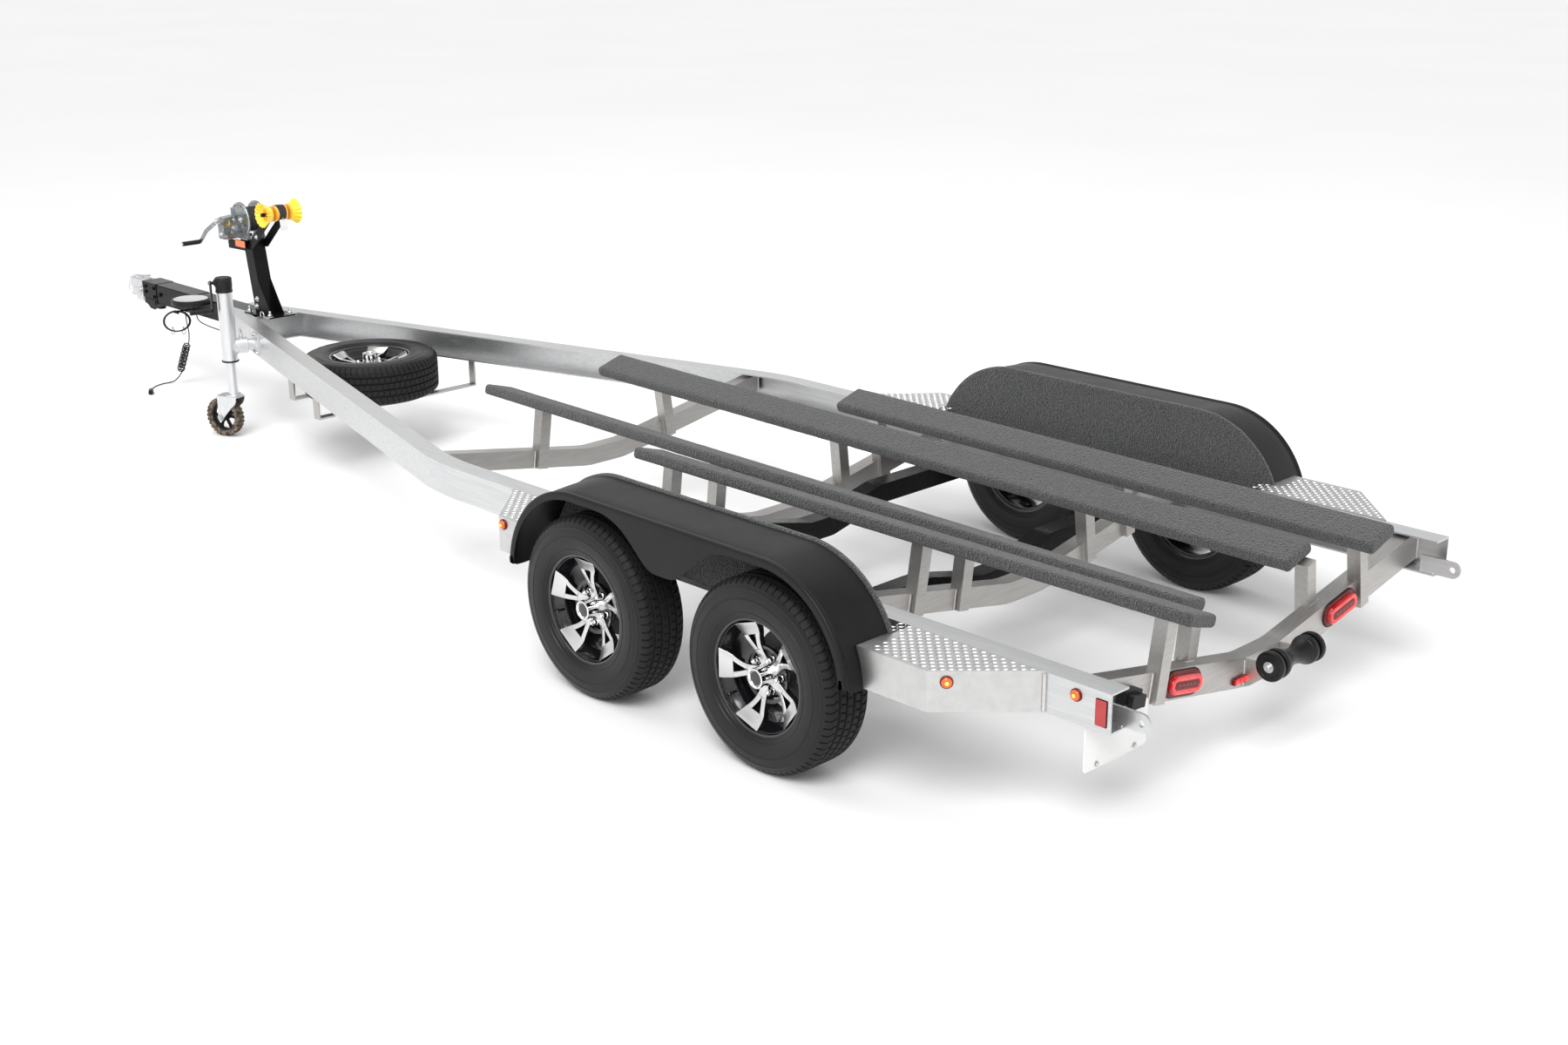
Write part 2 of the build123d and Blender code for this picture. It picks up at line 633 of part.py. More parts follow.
def step_outline(frame_x, corner_x, fender_x, inset=0.0):
    """A step's outline in (x, y); an inset leaves room for its walls."""
    half = STEP_OUTER_HALF - inset
    lean = (frame_x - corner_x) / (STEP_OUTER_HALF - FRAME_HALF)
    slant = inset * hypot(1.0, lean)
    sign = 1 if frame_x > corner_x else -1
    frame_edge = frame_x - sign * slant
    corner_edge = frame_edge - lean * (half - FRAME_HALF)
    return outline([(frame_edge, FRAME_HALF), (corner_edge, half), (fender_x, half), (fender_x, FRAME_HALF)])


def step_box(frame_x, corner_x, fender_x):
    """A left-hand step's body: walls all round under its tread plate."""
    top = RAIL_TOP
    outer = flat_plate(step_outline(frame_x, corner_x, fender_x), (RAIL_BOTTOM, top))
    inner = flat_plate(step_outline(frame_x, corner_x, fender_x, STEP_WALL), (RAIL_BOTTOM, top - STEP_WALL))
    return outer - inner - fender_clearance()


def step_tread(frame_x, corner_x, fender_x):
    """A left-hand step's tread plate."""
    plate = flat_plate(step_outline(frame_x, corner_x, fender_x), (RAIL_TOP, RAIL_TOP + TREAD_PLATE))
    return plate - fender_clearance()


# ---------------------------------------------------------------- axles and wheels
def axle_bar(x, width, half):
    """A square bar of the axle's route under the rails."""
    high = RAIL_BOTTOM - AXLE_TUBE / 2
    low = high - AXLE_DROP
    route = FilletPolyline((x, -half, high), (x, -AXLE_RAMP_HALF, high), (x, -AXLE_FLAT_HALF, low),
                           (x, AXLE_FLAT_HALF, low), (x, AXLE_RAMP_HALF, high), (x, half, high),
                           radius=AXLE_BEND_RADIUS)
    start = Plane(origin=(x, -half, high), x_dir=(1, 0, 0), z_dir=(0, 1, 0))
    return sweep(start * Rectangle(width, width), path=route)


def axle(wheel_x):
    """A torsion axle: its tube, two trailing arms and two spindles."""
    x = wheel_x + AXLE_LEAD
    high = RAIL_BOTTOM - AXLE_TUBE / 2
    tube = axle_bar(x, AXLE_TUBE, AXLE_HALF) - axle_bar(x, AXLE_TUBE - 2 * AXLE_WALL, AXLE_HALF)
    arm_face = link((x, high), (wheel_x, AXLE_HEIGHT), ARM_END_RADIUS, ARM_END_RADIUS)
    arm = side_plate(arm_face, (AXLE_HALF, AXLE_HALF + ARM_THICK))
    spindle_end = RIM_FACE_HALF - HUB_DEPTH - HUB_THICK - SPINDLE_END_GAP
    spindle_start = AXLE_HALF + ARM_THICK
    spindle = rod((wheel_x, spindle_start, AXLE_HEIGHT), (0, 1, 0), SPINDLE_RADIUS, spindle_end - spindle_start)
    return tube + arm + spindle + mirrored(arm) + mirrored(spindle)


def turned(profile):
    """A ring turned about the Y axis from an outline in (radius, y)."""
    face = Plane(origin=(0, 0, 0), x_dir=(1, 0, 0), z_dir=(0, 0, 1)) * outline(profile)
    return revolve(face, axis=Axis.Y)


def many_sided(radius, inset):
    """A section of the tyre: a regular outline, one of its sides below, at a distance in from its face."""
    half_turn = 180 / TYRE_SIDES
    corner_radius = radius / cos(radians(half_turn))
    return Plane.XZ.offset(inset) * Rot(0, 0, half_turn) * RegularPolygon(corner_radius, TYRE_SIDES)


def frustum(rings):
    """A many-sided solid through rings of (radius, inset)."""
    return loft([many_sided(*ring) for ring in rings], ruled=True)


def tyre():
    """A tyre about the Y axis, with its outer side at Y = 0: a many-sided ring with a plain tread."""
    full = TYRE_WIDTH
    bead_inset = (full - RIM_WIDTH) / 2 + RIM_WALL
    flank_radius, flank_inset = TYRE_FLANK
    side = [(TYRE_BULGE_RADIUS, 0.0), (flank_radius, flank_inset), (AXLE_HEIGHT, TYRE_SHOULDER)]
    body = frustum(side + [(radius, full - inset) for radius, inset in reversed(side)])
    dish = [(TYRE_BULGE_RADIUS, 0.0), (RIM_RADIUS + RUNNING_GAP, bead_inset)]
    body -= frustum(dish)
    body -= frustum([(radius, full - inset) for radius, inset in reversed(dish)])
    return body - frustum([(BEAD_RADIUS, 0.0), (BEAD_RADIUS, full)])


def rim():
    """A wheel about the Y axis, with its outer lip's face at Y = 0: barrel, spokes and hub."""
    width, wall, lip = RIM_WIDTH, RIM_WALL, RIM_RADIUS
    seat = BEAD_RADIUS - RUNNING_GAP
    well = seat - WELL_DROP
    fall_start, fall_end, rise_start, rise_end = WELL_STATIONS
    outside = [(lip, 0.0), (lip, wall), (seat, wall), (seat, fall_start), (well, fall_end), (well, rise_start),
               (seat, rise_end), (seat, width - wall), (lip, width - wall), (lip, width)]
    inside = [(seat - wall, width), (seat - wall, rise_end), (well - wall, rise_start), (well - wall, fall_end),
              (seat - wall, fall_start), (seat - wall, 0.0)]
    barrel = turned([(radius, -place) for radius, place in outside + inside])
    return barrel + wheel_disc(seat - wall / 2)


def spoked(table, turn):
    """An outline given by half-widths at radii, turned about the wheel's centre."""
    edge = [(radius, half) for radius, half in table]
    return Rot(0, 0, turn) * outline(edge + [(radius, -half) for radius, half in reversed(edge)])


def wheel_disc(reach):
    """The split spokes and the hub, dished behind the rim's outer face, with the hub's cap."""
    face = Circle(HUB_RADIUS)
    for number in range(SPOKE_COUNT):
        turn = 90 + number * 360 / SPOKE_COUNT
        face += spoked(SPOKE_EDGE, turn)
        face -= spoked(SPOKE_WINDOW, turn)
    for number in range(STUD_COUNT):
        face -= Rot(0, 0, number * 360 / STUD_COUNT + 54) * Pos(STUD_CIRCLE / 2, 0) * Circle(STUD_RADIUS)
    back = HUB_DEPTH + HUB_THICK
    disc = extrude(Plane.XZ.offset(back) * (face & Circle(reach)), amount=back, dir=(0, 1, 0))
    (pad_start, pad_depth), (pad_end, lip_depth) = PAD_INNER, PAD_OUTER
    front = [(0.0, lip_depth), (0.0, -HUB_DEPTH), (HUB_RADIUS, -HUB_DEPTH), (pad_start, -pad_depth),
             (pad_end, -lip_depth), (pad_end, lip_depth)]
    behind = [(HUB_RADIUS, -back - 1.0), (HUB_RADIUS, -back), (pad_start, -pad_depth - SPOKE_THICK),
              (pad_end, -pad_depth - SPOKE_THICK), (pad_end, -back - 1.0)]
    cap = rod((0, -HUB_DEPTH, 0), (0, 1, 0), CAP_RADIUS, HUB_DEPTH + CAP_PROUD)
    return disc - turned(front) - turned(behind) + cap


def brake_hub():
    """The hub and brake disc behind a wheel, bored for its spindle."""
    back = -HUB_DEPTH - HUB_THICK
    barrel_start = AXLE_HALF + ARM_THICK - RIM_FACE_HALF + BRAKE_BARREL_GAP
    disc_start = BRAKE_WIDTH - RIM_WIDTH
    bore = SPINDLE_RADIUS + RUNNING_GAP
    barrel = rod((0, barrel_start, 0), (0, 1, 0), BRAKE_BARREL_RADIUS, back - barrel_start)
    disc = rod((0, disc_start, 0), (0, 1, 0), BRAKE_RADIUS, BRAKE_WIDTH / 2)
    hole = rod((0, barrel_start, 0), (0, 1, 0), bore, back - SPINDLE_END_GAP / 2 - barrel_start)
    return barrel + disc - hole


def wheel_rim():
    """A wheel with the hub and brake disc it is bolted to, bored for its spindle."""
    return rim() + brake_hub()


# Each row: node stem, axle X, side (1 is left).
WHEELS = [
    ("front_left", FRONT_AXLE_X, 1),
    ("front_right", FRONT_AXLE_X, -1),
    ("rear_left", REAR_AXLE_X, 1),
    ("rear_right", REAR_AXLE_X, -1),
]


# ---------------------------------------------------------------- nose, tongue, coupler and pad
def nose_crossmember():
    """A channel between the rails under the winch post, open towards the back."""
    rear, front = NOSE_CROSS_X, NOSE_CROSS_X + NOSE_CROSS_WIDTH
    slack = RAIL_WALL / cos(radians(TAPER_ANGLE))
    low, high = RAIL_BOTTOM + RAIL_WALL, RAIL_TOP - RAIL_WALL
    web_rear, web_front = rail_half(rear) - slack, rail_half(front) - slack
    flange = RAIL_FLANGE / cos(radians(TAPER_ANGLE))
    inner_rear, inner_front = rail_half(rear) - flange, rail_half(front) - flange
    between = outline([(rear, -web_rear), (front, -web_front), (front, web_front), (rear, web_rear)])
    middle = outline([(rear, -inner_rear), (front, -inner_front), (front, inner_front), (rear, inner_rear)])
    channel = flat_plate(between, (low, high)) + flat_plate(middle, (RAIL_BOTTOM, RAIL_TOP))
    return channel - box((rear, front - RAIL_WALL), (-FRAME_HALF, FRAME_HALF), (low, high))


def tongue():
    """The square tongue tube, from the nose crossmember to the actuator."""
    start = NOSE_CROSS_X + NOSE_CROSS_WIDTH
    span = (start, ACTUATOR_START_X)
    bottom = RAIL_TOP - TONGUE_DEPTH
    bore = TONGUE_HALF - RAIL_WALL
    tube = box(span, (-TONGUE_HALF, TONGUE_HALF), (bottom, RAIL_TOP))
    return tube - box(span, (-bore, bore), (bottom + RAIL_WALL, RAIL_TOP - RAIL_WALL))


def actuator():
    """The surge brake actuator's body on the end of the tongue."""
    front, rear, low, high = ACTUATOR_END_X, ACTUATOR_START_X, ACTUATOR_BOTTOM, ACTUATOR_TOP
    heel_length, heel_rise = ACTUATOR_HEEL
    side = [(rear, high), (front, high)]
    side += [(front - back, low + rise) for back, rise in ACTUATOR_BELLY]
    side += [(rear + heel_length, low), (rear, low + heel_rise)]
    return side_plate(outline(side), (-ACTUATOR_HALF, ACTUATOR_HALF))


def coupler():
    """The coupler's ball housing, bored from below for the ball."""
    middle = COUPLER_TIP_X - COUPLER_HALF
    plan = Pos(middle, 0) * Circle(COUPLER_HALF)
    plan += Pos((ACTUATOR_END_X + middle) / 2, 0) * Rectangle(middle - ACTUATOR_END_X, 2 * COUPLER_HALF)
    mouth = COUPLER_TOP - SOCKET_DEPTH - COUPLER_WALL
    body = flat_plate(plan, (mouth, COUPLER_TOP))
    neck = (ACTUATOR_END_X, middle - 2 * BALL_RADIUS)
    body += box(neck, (-COUPLER_HALF, COUPLER_HALF), (COUPLER_BOTTOM, mouth))
    return body - rod((middle, 0, mouth), (0, 0, 1), BALL_RADIUS, SOCKET_DEPTH)


def pad_middle():
    """The foot pad's centre across the trailer: just clear of the tongue's side."""
    return TONGUE_HALF + PAD_GAP + PAD_RADIUS


def foot_pad():
    """A round pad to stand on, beside the tongue."""
    return rod((PAD_X, pad_middle(), PAD_TOP - PAD_THICK), (0, 0, 1), PAD_RADIUS, PAD_THICK)


def pad_bracket():
    """The strap that carries the pad, and the hook for the safety cables, both on the tongue's side."""
    top = PAD_TOP - PAD_THICK
    half = PAD_RADIUS / 2
    across = (TONGUE_HALF, pad_middle() + half)
    strap = box((PAD_X - half, PAD_X + half), across, (top - PAD_BRACKET_THICK, top))
    root = Vector(HOOK_X - CABLES_BEHIND + HOOK_ARM / 2, TONGUE_HALF, HOOK_Z)
    elbow = root + Vector(0, HOOK_REACH, 0)
    tip = elbow - Vector(HOOK_ARM, 0, 0)
    hook = rod(root, (0, 1, 0), HOOK_RADIUS, HOOK_REACH) + rod(elbow, (-1, 0, 0), HOOK_RADIUS, HOOK_ARM)
    hook += rod(tip, (0, 0, 1), HOOK_RADIUS, HOOK_TIP)
    for bend in (elbow, tip):
        hook += Pos(*bend) * Sphere(HOOK_RADIUS)
    return Compound(children=[strap, hook])


# ---------------------------------------------------------------- winch post
def winch_post():
    """The base plate, the leaning square tube with its gussets, and the plate on its head."""
    foot_z = RAIL_TOP + POST_PLATE_THICK
    plate_rear, plate_front = POST_PLATE_SPAN
    plate = box((POST_FOOT_X + plate_rear, POST_FOOT_X + plate_front), (-POST_PLATE_HALF, POST_PLATE_HALF),
                (RAIL_TOP, foot_z))
    lean = atan2(POST_HEAD_X - POST_FOOT_X, POST_HEAD_Z - foot_z)
    half = POST_TUBE / 2 / cos(lean)
    bore = half - POST_TUBE_WALL / cos(lean)

    def leaning(reach):
        return outline([(POST_FOOT_X - reach, foot_z), (POST_FOOT_X + reach, foot_z),
                        (POST_HEAD_X + reach, POST_HEAD_Z), (POST_HEAD_X - reach, POST_HEAD_Z)])

    side, inside = POST_TUBE / 2, POST_TUBE / 2 - POST_TUBE_WALL
    tube = side_plate(leaning(half), (-side, side)) - side_plate(leaning(bore), (-inside, inside))
    rear = POST_FOOT_X - half
    shift = GUSSET_HEIGHT * tan(lean)
    gusset = outline([(rear - GUSSET_LENGTH, foot_z), (rear, foot_z), (rear + shift, foot_z + GUSSET_HEIGHT)])
    gusset = side_plate(gusset, (side - GUSSET_THICK, side))
    head_rear, head_front = HEAD_PLATE_SPAN
    head = box((POST_HEAD_X + head_rear, POST_HEAD_X + head_front), (-side, side),
               (POST_HEAD_Z, POST_HEAD_Z + HEAD_PLATE_THICK))
    return plate + tube + gusset + mirrored(gusset) + head


def bow_yoke():
    """Two arms from the post's head to the bow roller, and the roller's pin."""
    side = POST_TUBE / 2
    half = YOKE_WIDTH / 2
    level = POST_HEAD_Z + HEAD_PLATE_THICK - half
    knee = (POST_HEAD_X - YOKE_KNEE_BEHIND, level + YOKE_KNEE_RISE)
    bend = (POST_HEAD_X - YOKE_BEND_BEHIND, level)
    arm = link((POST_HEAD_X + YOKE_AHEAD, level), bend, half, half) + link(bend, knee, half, half)
    arm += link(knee, (ROLLER_X, ROLLER_Z), half, ROLLER_PIN_RADIUS * 2)
    arm = side_plate(arm, (side, side + YOKE_THICK))
    pin = rod((ROLLER_X, -ROLLER_END_HALF, ROLLER_Z), (0, 1, 0), ROLLER_PIN_RADIUS, 2 * ROLLER_END_HALF)
    return arm + mirrored(arm) + pin


def bow_roller():
    """Two flared bells and the spool between them, bored for the pin."""
    bore = ROLLER_PIN_RADIUS + RUNNING_GAP
    bell = turned([(bore, ROLLER_NECK_HALF), (ROLLER_NECK_RADIUS, ROLLER_NECK_HALF),
                   (ROLLER_NECK_RADIUS, ROLLER_BELL_HALF), (ROLLER_BELL_RADIUS, ROLLER_END_HALF),
                   (ROLLER_BELL_RADIUS - ROLLER_LIP, ROLLER_END_HALF),
                   (ROLLER_CORE_RADIUS, ROLLER_BELL_HALF + ROLLER_CORE_LENGTH),
                   (bore, ROLLER_BELL_HALF + ROLLER_CORE_LENGTH)])
    bell = Pos(ROLLER_X, 0, ROLLER_Z) * bell
    return both_sides(bell)


def bow_spool():
    """The strap-wound spool between the yoke's arms."""
    bore = ROLLER_PIN_RADIUS + RUNNING_GAP
    spool = turned([(bore, -ROLLER_SPOOL_HALF), (ROLLER_NECK_RADIUS, -ROLLER_SPOOL_HALF),
                    (ROLLER_NECK_RADIUS, ROLLER_SPOOL_HALF), (bore, ROLLER_SPOOL_HALF)])
    return Pos(ROLLER_X, 0, ROLLER_Z) * spool


def winch_frame():
    """The winch's base and side plates, and its gear housing on the left."""
    base_z = POST_HEAD_Z + HEAD_PLATE_THICK
    outer, inner = WINCH_HALF, WINCH_HALF - WINCH_PLATE_THICK
    foot = Pos(WINCH_X, (base_z + WINCH_Z) / 2) * Rectangle(2 * WINCH_FOOT_HALF, WINCH_Z - base_z)
    face = foot + Pos(WINCH_X, WINCH_Z) * Circle(WINCH_DISC_RADIUS)
    face -= Pos(WINCH_X, WINCH_Z) * Circle(SHAFT_RADIUS + RUNNING_GAP)
    plate = side_plate(face, (inner, outer))
    base = box((WINCH_X - WINCH_FOOT_HALF, WINCH_X + WINCH_FOOT_HALF), (-outer, outer),
               (base_z, base_z + WINCH_PLATE_THICK))
    housing = box([WINCH_X + ahead for ahead in HOUSING_AHEAD], (outer, HOUSING_END),
                  [WINCH_Z + rise for rise in HOUSING_RISE])
    housing -= rod((WINCH_X, 0, WINCH_Z), (0, 1, 0), 2 * SHAFT_RADIUS, outer + 3 * SHAFT_RADIUS)
    seat = (CRANK_X, HOUSING_END - SHAFT_SEAT, CRANK_Z)
    housing -= rod(seat, (0, 1, 0), SHAFT_RADIUS + RUNNING_GAP, SHAFT_SEAT)
    return plate + mirrored(plate) + base + housing


def winch_drum():
    """The drum with its rolled strap, on a shaft through both side plates."""
    half = WINCH_HALF - WINCH_PLATE_THICK - DRUM_GAP
    shaft_half = WINCH_HALF + DRUM_GAP
    roll = rod((WINCH_X, -half, WINCH_Z), (0, 1, 0), STRAP_ROLL_RADIUS, 2 * half)
    return roll + rod((WINCH_X, -shaft_half, WINCH_Z), (0, 1, 0), SHAFT_RADIUS, 2 * shaft_half)


def winch_crank():
    """The winch's handle: shaft, cranked arm and grip."""
    start = HOUSING_END - SHAFT_SEAT + RUNNING_GAP
    arm_y = (HOUSING_END + CRANK_THICK, HOUSING_END + 2 * CRANK_THICK)
    knee = (CRANK_X + CRANK_KNEE[0], CRANK_Z + CRANK_KNEE[1])
    end = (CRANK_X + CRANK_END[0], CRANK_Z + CRANK_END[1])
    half = CRANK_WIDTH / 2
    arm = side_plate(link((CRANK_X, CRANK_Z), knee, half, half) + link(knee, end, half, half), arm_y)
    shaft = rod((CRANK_X, start, CRANK_Z), (0, 1, 0), SHAFT_RADIUS, arm_y[1] - start)
    return arm + shaft + rod((end[0], arm_y[1], end[1]), (0, 1, 0), GRIP_RADIUS, GRIP_LENGTH)


# ---------------------------------------------------------------- jack
def jack_place(out, z):
    """A point on the jack's swivel line: a distance out from the rail's face, at a height."""
    face_x = JACK_X - JACK_STANDOFF * TAPER_NORMAL.X
    foot = Vector(face_x, rail_half(face_x), z)
    return foot + TAPER_NORMAL * out


def jack_mount():
    """The plate on the rail's outer face and the stub that the jack swivels on."""
    face = Plane(origin=jack_place(0, JACK_PIVOT_Z), x_dir=TAPER_DIRECTION, z_dir=TAPER_NORMAL)
    plate = extrude(face * Rectangle(JACK_PLATE_LENGTH, JACK_PLATE_HEIGHT), amount=JACK_PLATE_THICK)
    stub = rod(jack_place(JACK_PLATE_THICK, JACK_PIVOT_Z), TAPER_NORMAL, JACK_STUB_RADIUS,
               JACK_STANDOFF - JACK_TUBE_RADIUS - JACK_PLATE_THICK - RUNNING_GAP)
    return plate + stub


def jack_tube():
    """The jack's outer tube, with the collar that turns on the stub."""
    low, high = JACK_TUBE_Z
    centre = jack_place(JACK_STANDOFF, low)
    tube = rod(centre, (0, 0, 1), JACK_TUBE_RADIUS, high - low)
    collar = rod(jack_place(JACK_COLLAR_START, JACK_PIVOT_Z), TAPER_NORMAL, JACK_COLLAR_RADIUS,
                 JACK_STANDOFF - JACK_COLLAR_START)
    seat = rod(jack_place(0, JACK_PIVOT_Z), TAPER_NORMAL, JACK_STUB_RADIUS + RUNNING_GAP,
               JACK_STANDOFF - JACK_TUBE_RADIUS)
    bore = rod(centre, (0, 0, 1), JACK_TUBE_RADIUS - JACK_TUBE_WALL, high - low)
    return tube + collar - seat - bore


def jack_cap():
    """The black cap on the jack, and the guide ring at the foot of its outer tube."""
    low, high = JACK_TUBE_Z
    cap = rod(jack_place(JACK_STANDOFF, high), (0, 0, 1), JACK_CAP_RADIUS, JACK_CAP_TOP - high)
    cap -= rod(jack_place(JACK_STANDOFF + JACK_CAP_RADIUS - SHAFT_SEAT, JACK_CRANK_Z), TAPER_NORMAL,
               SHAFT_RADIUS + RUNNING_GAP, 2 * SHAFT_SEAT)
    guide = ring(jack_place(JACK_STANDOFF, low - JACK_RING_HEIGHT), (0, 0, 1), JACK_RING_RADIUS,
                 JACK_INNER_RADIUS + RUNNING_GAP, JACK_RING_HEIGHT)
    return Compound(children=[cap, guide])


def fork_top():
    """Height of the top of the jack's fork, where the inner tube meets it."""
    return 2 * JACK_WHEEL_RADIUS + JACK_FORK_RISE + JACK_FORK_THICK


def jack_inner():
    """The jack's lifting tube."""
    start = fork_top() + RUNNING_GAP
    return rod(jack_place(JACK_STANDOFF, start), (0, 0, 1), JACK_INNER_RADIUS, JACK_INNER_TOP - start)


def caster_place():
    """Where the caster's pieces stand: under the lifting tube, turned as it trails."""
    return Location(tuple(jack_place(JACK_STANDOFF, 0)), (0, 0, JACK_CASTER_TURN))


def jack_fork():
    """The caster's fork: a crown under the tube, two legs and the wheel's axle."""
    half = JACK_WHEEL_WIDTH / 2 + JACK_FORK_GAP
    outer = half + JACK_FORK_THICK
    top = fork_top()
    rear, front = JACK_CROWN_SPAN
    crown = Pos((rear + front) / 2, 0) * RectangleRounded(front - rear, 2 * outer, JACK_CROWN_CORNER)
    crown = flat_plate(crown, (top - JACK_FORK_THICK, top))
    root_x = JACK_TRAIL + JACK_LEG_FOOT_RADIUS - JACK_LEG_TOP_RADIUS
    leg = link((root_x, top - JACK_FORK_THICK), (JACK_TRAIL, JACK_WHEEL_RADIUS),
               JACK_LEG_TOP_RADIUS, JACK_LEG_FOOT_RADIUS)
    leg = leg & (Pos(0, top / 2 - JACK_FORK_THICK) * Rectangle(4 * JACK_WHEEL_RADIUS, top))
    legs = [side_plate(leg, (side * half, side * outer)) for side in (-1, 1)]
    axle_bar_y = rod((JACK_TRAIL, -outer, JACK_WHEEL_RADIUS), (0, 1, 0), JACK_AXLE_RADIUS, 2 * outer)
    return caster_place() * (crown + legs[0] + legs[1] + axle_bar_y)


def jack_wheel():
    """The caster's wheel, bored for its axle."""
    start = (JACK_TRAIL, -JACK_WHEEL_WIDTH / 2, JACK_WHEEL_RADIUS)
    wheel = ring(start, (0, 1, 0), JACK_WHEEL_RADIUS, JACK_AXLE_RADIUS + RUNNING_GAP, JACK_WHEEL_WIDTH)
    return caster_place() * wheel


def jack_crank():
    """The jack's handle: shaft, hanging arm and grip."""
    start = JACK_STANDOFF + JACK_CAP_RADIUS - SHAFT_SEAT + RUNNING_GAP
    arm_start = JACK_STANDOFF + JACK_CAP_RADIUS + JACK_CRANK_GAP
    hanging = Plane(origin=jack_place(arm_start, JACK_CRANK_Z), x_dir=(0, 0, -1), z_dir=TAPER_NORMAL)
    half = CRANK_WIDTH / 2
    arm = extrude(hanging * link((0, 0), (JACK_CRANK_DROP, 0), half, half), amount=CRANK_THICK)
    shaft = rod(jack_place(start, JACK_CRANK_Z), TAPER_NORMAL, SHAFT_RADIUS, arm_start - start)
    grip = rod(jack_place(arm_start + CRANK_THICK, JACK_CRANK_Z - JACK_CRANK_DROP), TAPER_NORMAL,
               GRIP_RADIUS, JACK_GRIP_LENGTH)
    return arm + shaft + grip


# ---------------------------------------------------------------- spare wheel and carrier
def laid_flat(wheel_part, face_z):
    """A wheel's piece laid flat between the rails, its outer face up."""
    return Pos(SPARE_X, 0, face_z) * Rot(90, 0, 0) * wheel_part


def spare_bottom():
    """Height of the spare tyre's underside."""
    return SPARE_FACE_Z + TYRE_FACE_HALF - RIM_FACE_HALF - TYRE_WIDTH


def carrier_hanger(x):
    """A bar under the spare tyre, hung from both rails."""
    top = spare_bottom() - RUNNING_GAP
    bottom = top - CARRIER_WALL
    flange_middle = rail_half(x) - RAIL_FLANGE / 2
    span = (x - CARRIER_BAR / 2, x + CARRIER_BAR / 2)
    bar = box(span, (-flange_middle, flange_middle), (bottom, top))
    drop = box(span, (flange_middle - CARRIER_WALL, flange_middle), (bottom, RAIL_BOTTOM))
    return bar + drop + mirrored(drop)


# ---------------------------------------------------------------- rear end
def rear_face_place(y, z, side=1):
    """A plane on the rear crossmember's back face, turned with the tube's slope."""
    cross = CROSS["crossmember_rear"]
    slope = degrees(atan2(cross_slope(cross), 1.0)) * side
    return Plane.YZ.offset(cross["x"]) * Location((y, z, 0), (0, 0, slope))


def tail_lamp():
    """The left tail lamp: an oval body on the crossmember's back face, inside the outer bunk's post."""
    post = dict(zip(POST_COLUMNS, POSTS[0]))
    y = post["foot"] * ACROSS - POST_WIDTH / 2 - LAMP_POST_GAP - LAMP_LENGTH / 2
    z = cross_height(CROSS["crossmember_rear"], y) + LAMP_DROP
    face = SlotOverall(LAMP_LENGTH, LAMP_HEIGHT)
    return extrude(rear_face_place(y, z) * face, amount=-LAMP_THICK)


def marker_bar():
    """A small bar of three marker lamps beside the keel roller."""
    x = CROSS["crossmember_rear"]["x"]
    y, z = BAR_CENTRE
    width, height = BAR_SIZE
    return box((x - BAR_THICK, x), (y - width / 2, y + width / 2), (z - height / 2, z + height / 2))


def number_plate():
    """The blank plate under the left rail, with its slots and the strap it is bolted to."""
    y, z = PLATE_DRAWN_Y * ACROSS, PLATE_CENTRE_Z
    rear_face = CROSS["crossmember_rear"]["x"]
    face_x = rear_face - PLATE_GAP
    width, height = PLATE_SIZE
    face = RectangleRounded(width, height, PLATE_CORNER)
    inset_y, inset_z = PLATE_SLOT_INSET
    for side in (-1, 1):
        for rise in (-1, 1):
            face -= Pos(side * (width / 2 - inset_y), rise * (height / 2 - inset_z)) * SlotOverall(*PLATE_SLOT)
    plate = rear_plate(Pos(y, z) * face, (face_x - PLATE_THICK, face_x))
    strap = box((face_x, rear_face), (y - width / 3, y), (z + height / 3, z + height / 2))
    return plate + strap


def keel_bracket():
    """Two lugs on the rear crossmember that carry the keel roller's pin."""
    cross = CROSS["crossmember_rear"]
    inner = KEEL_HALF + CROSS_WALL
    outer = inner + KEEL_TAB_THICK
    root_z = cross_height(cross, outer) + KEEL_TAB_WIDTH / 2
    half = KEEL_TAB_WIDTH / 2
    face = link((KEEL_X, KEEL_Z), (cross["x"], root_z), KEEL_TIP_RADIUS, half)
    face = face & (Pos(0, KEEL_Z) * Rectangle(2 * cross["x"], RAIL_DEPTH * 2))
    tab = side_plate(face, (inner, outer))
    pin = rod((KEEL_X, -outer, KEEL_Z), (0, 1, 0), KEEL_PIN_RADIUS, 2 * outer)
    return tab + mirrored(tab) + pin


def keel_roller():
    """The rubber keel roller: a waisted spool between two end discs."""
    bore = KEEL_PIN_RADIUS + RUNNING_GAP
    end, disc = KEEL_HALF, KEEL_HALF - KEEL_END_WIDTH
    barrel, neck = KEEL_BARREL_RADIUS, disc - KEEL_NECK
    profile = [(bore, -end), (KEEL_END_RADIUS, -end), (KEEL_END_RADIUS, -disc), (barrel, -neck),
               (KEEL_WAIST_RADIUS, 0), (barrel, neck), (KEEL_END_RADIUS, disc),
               (KEEL_END_RADIUS, end), (bore, end)]
    return Pos(KEEL_X, 0, KEEL_Z) * turned(profile)


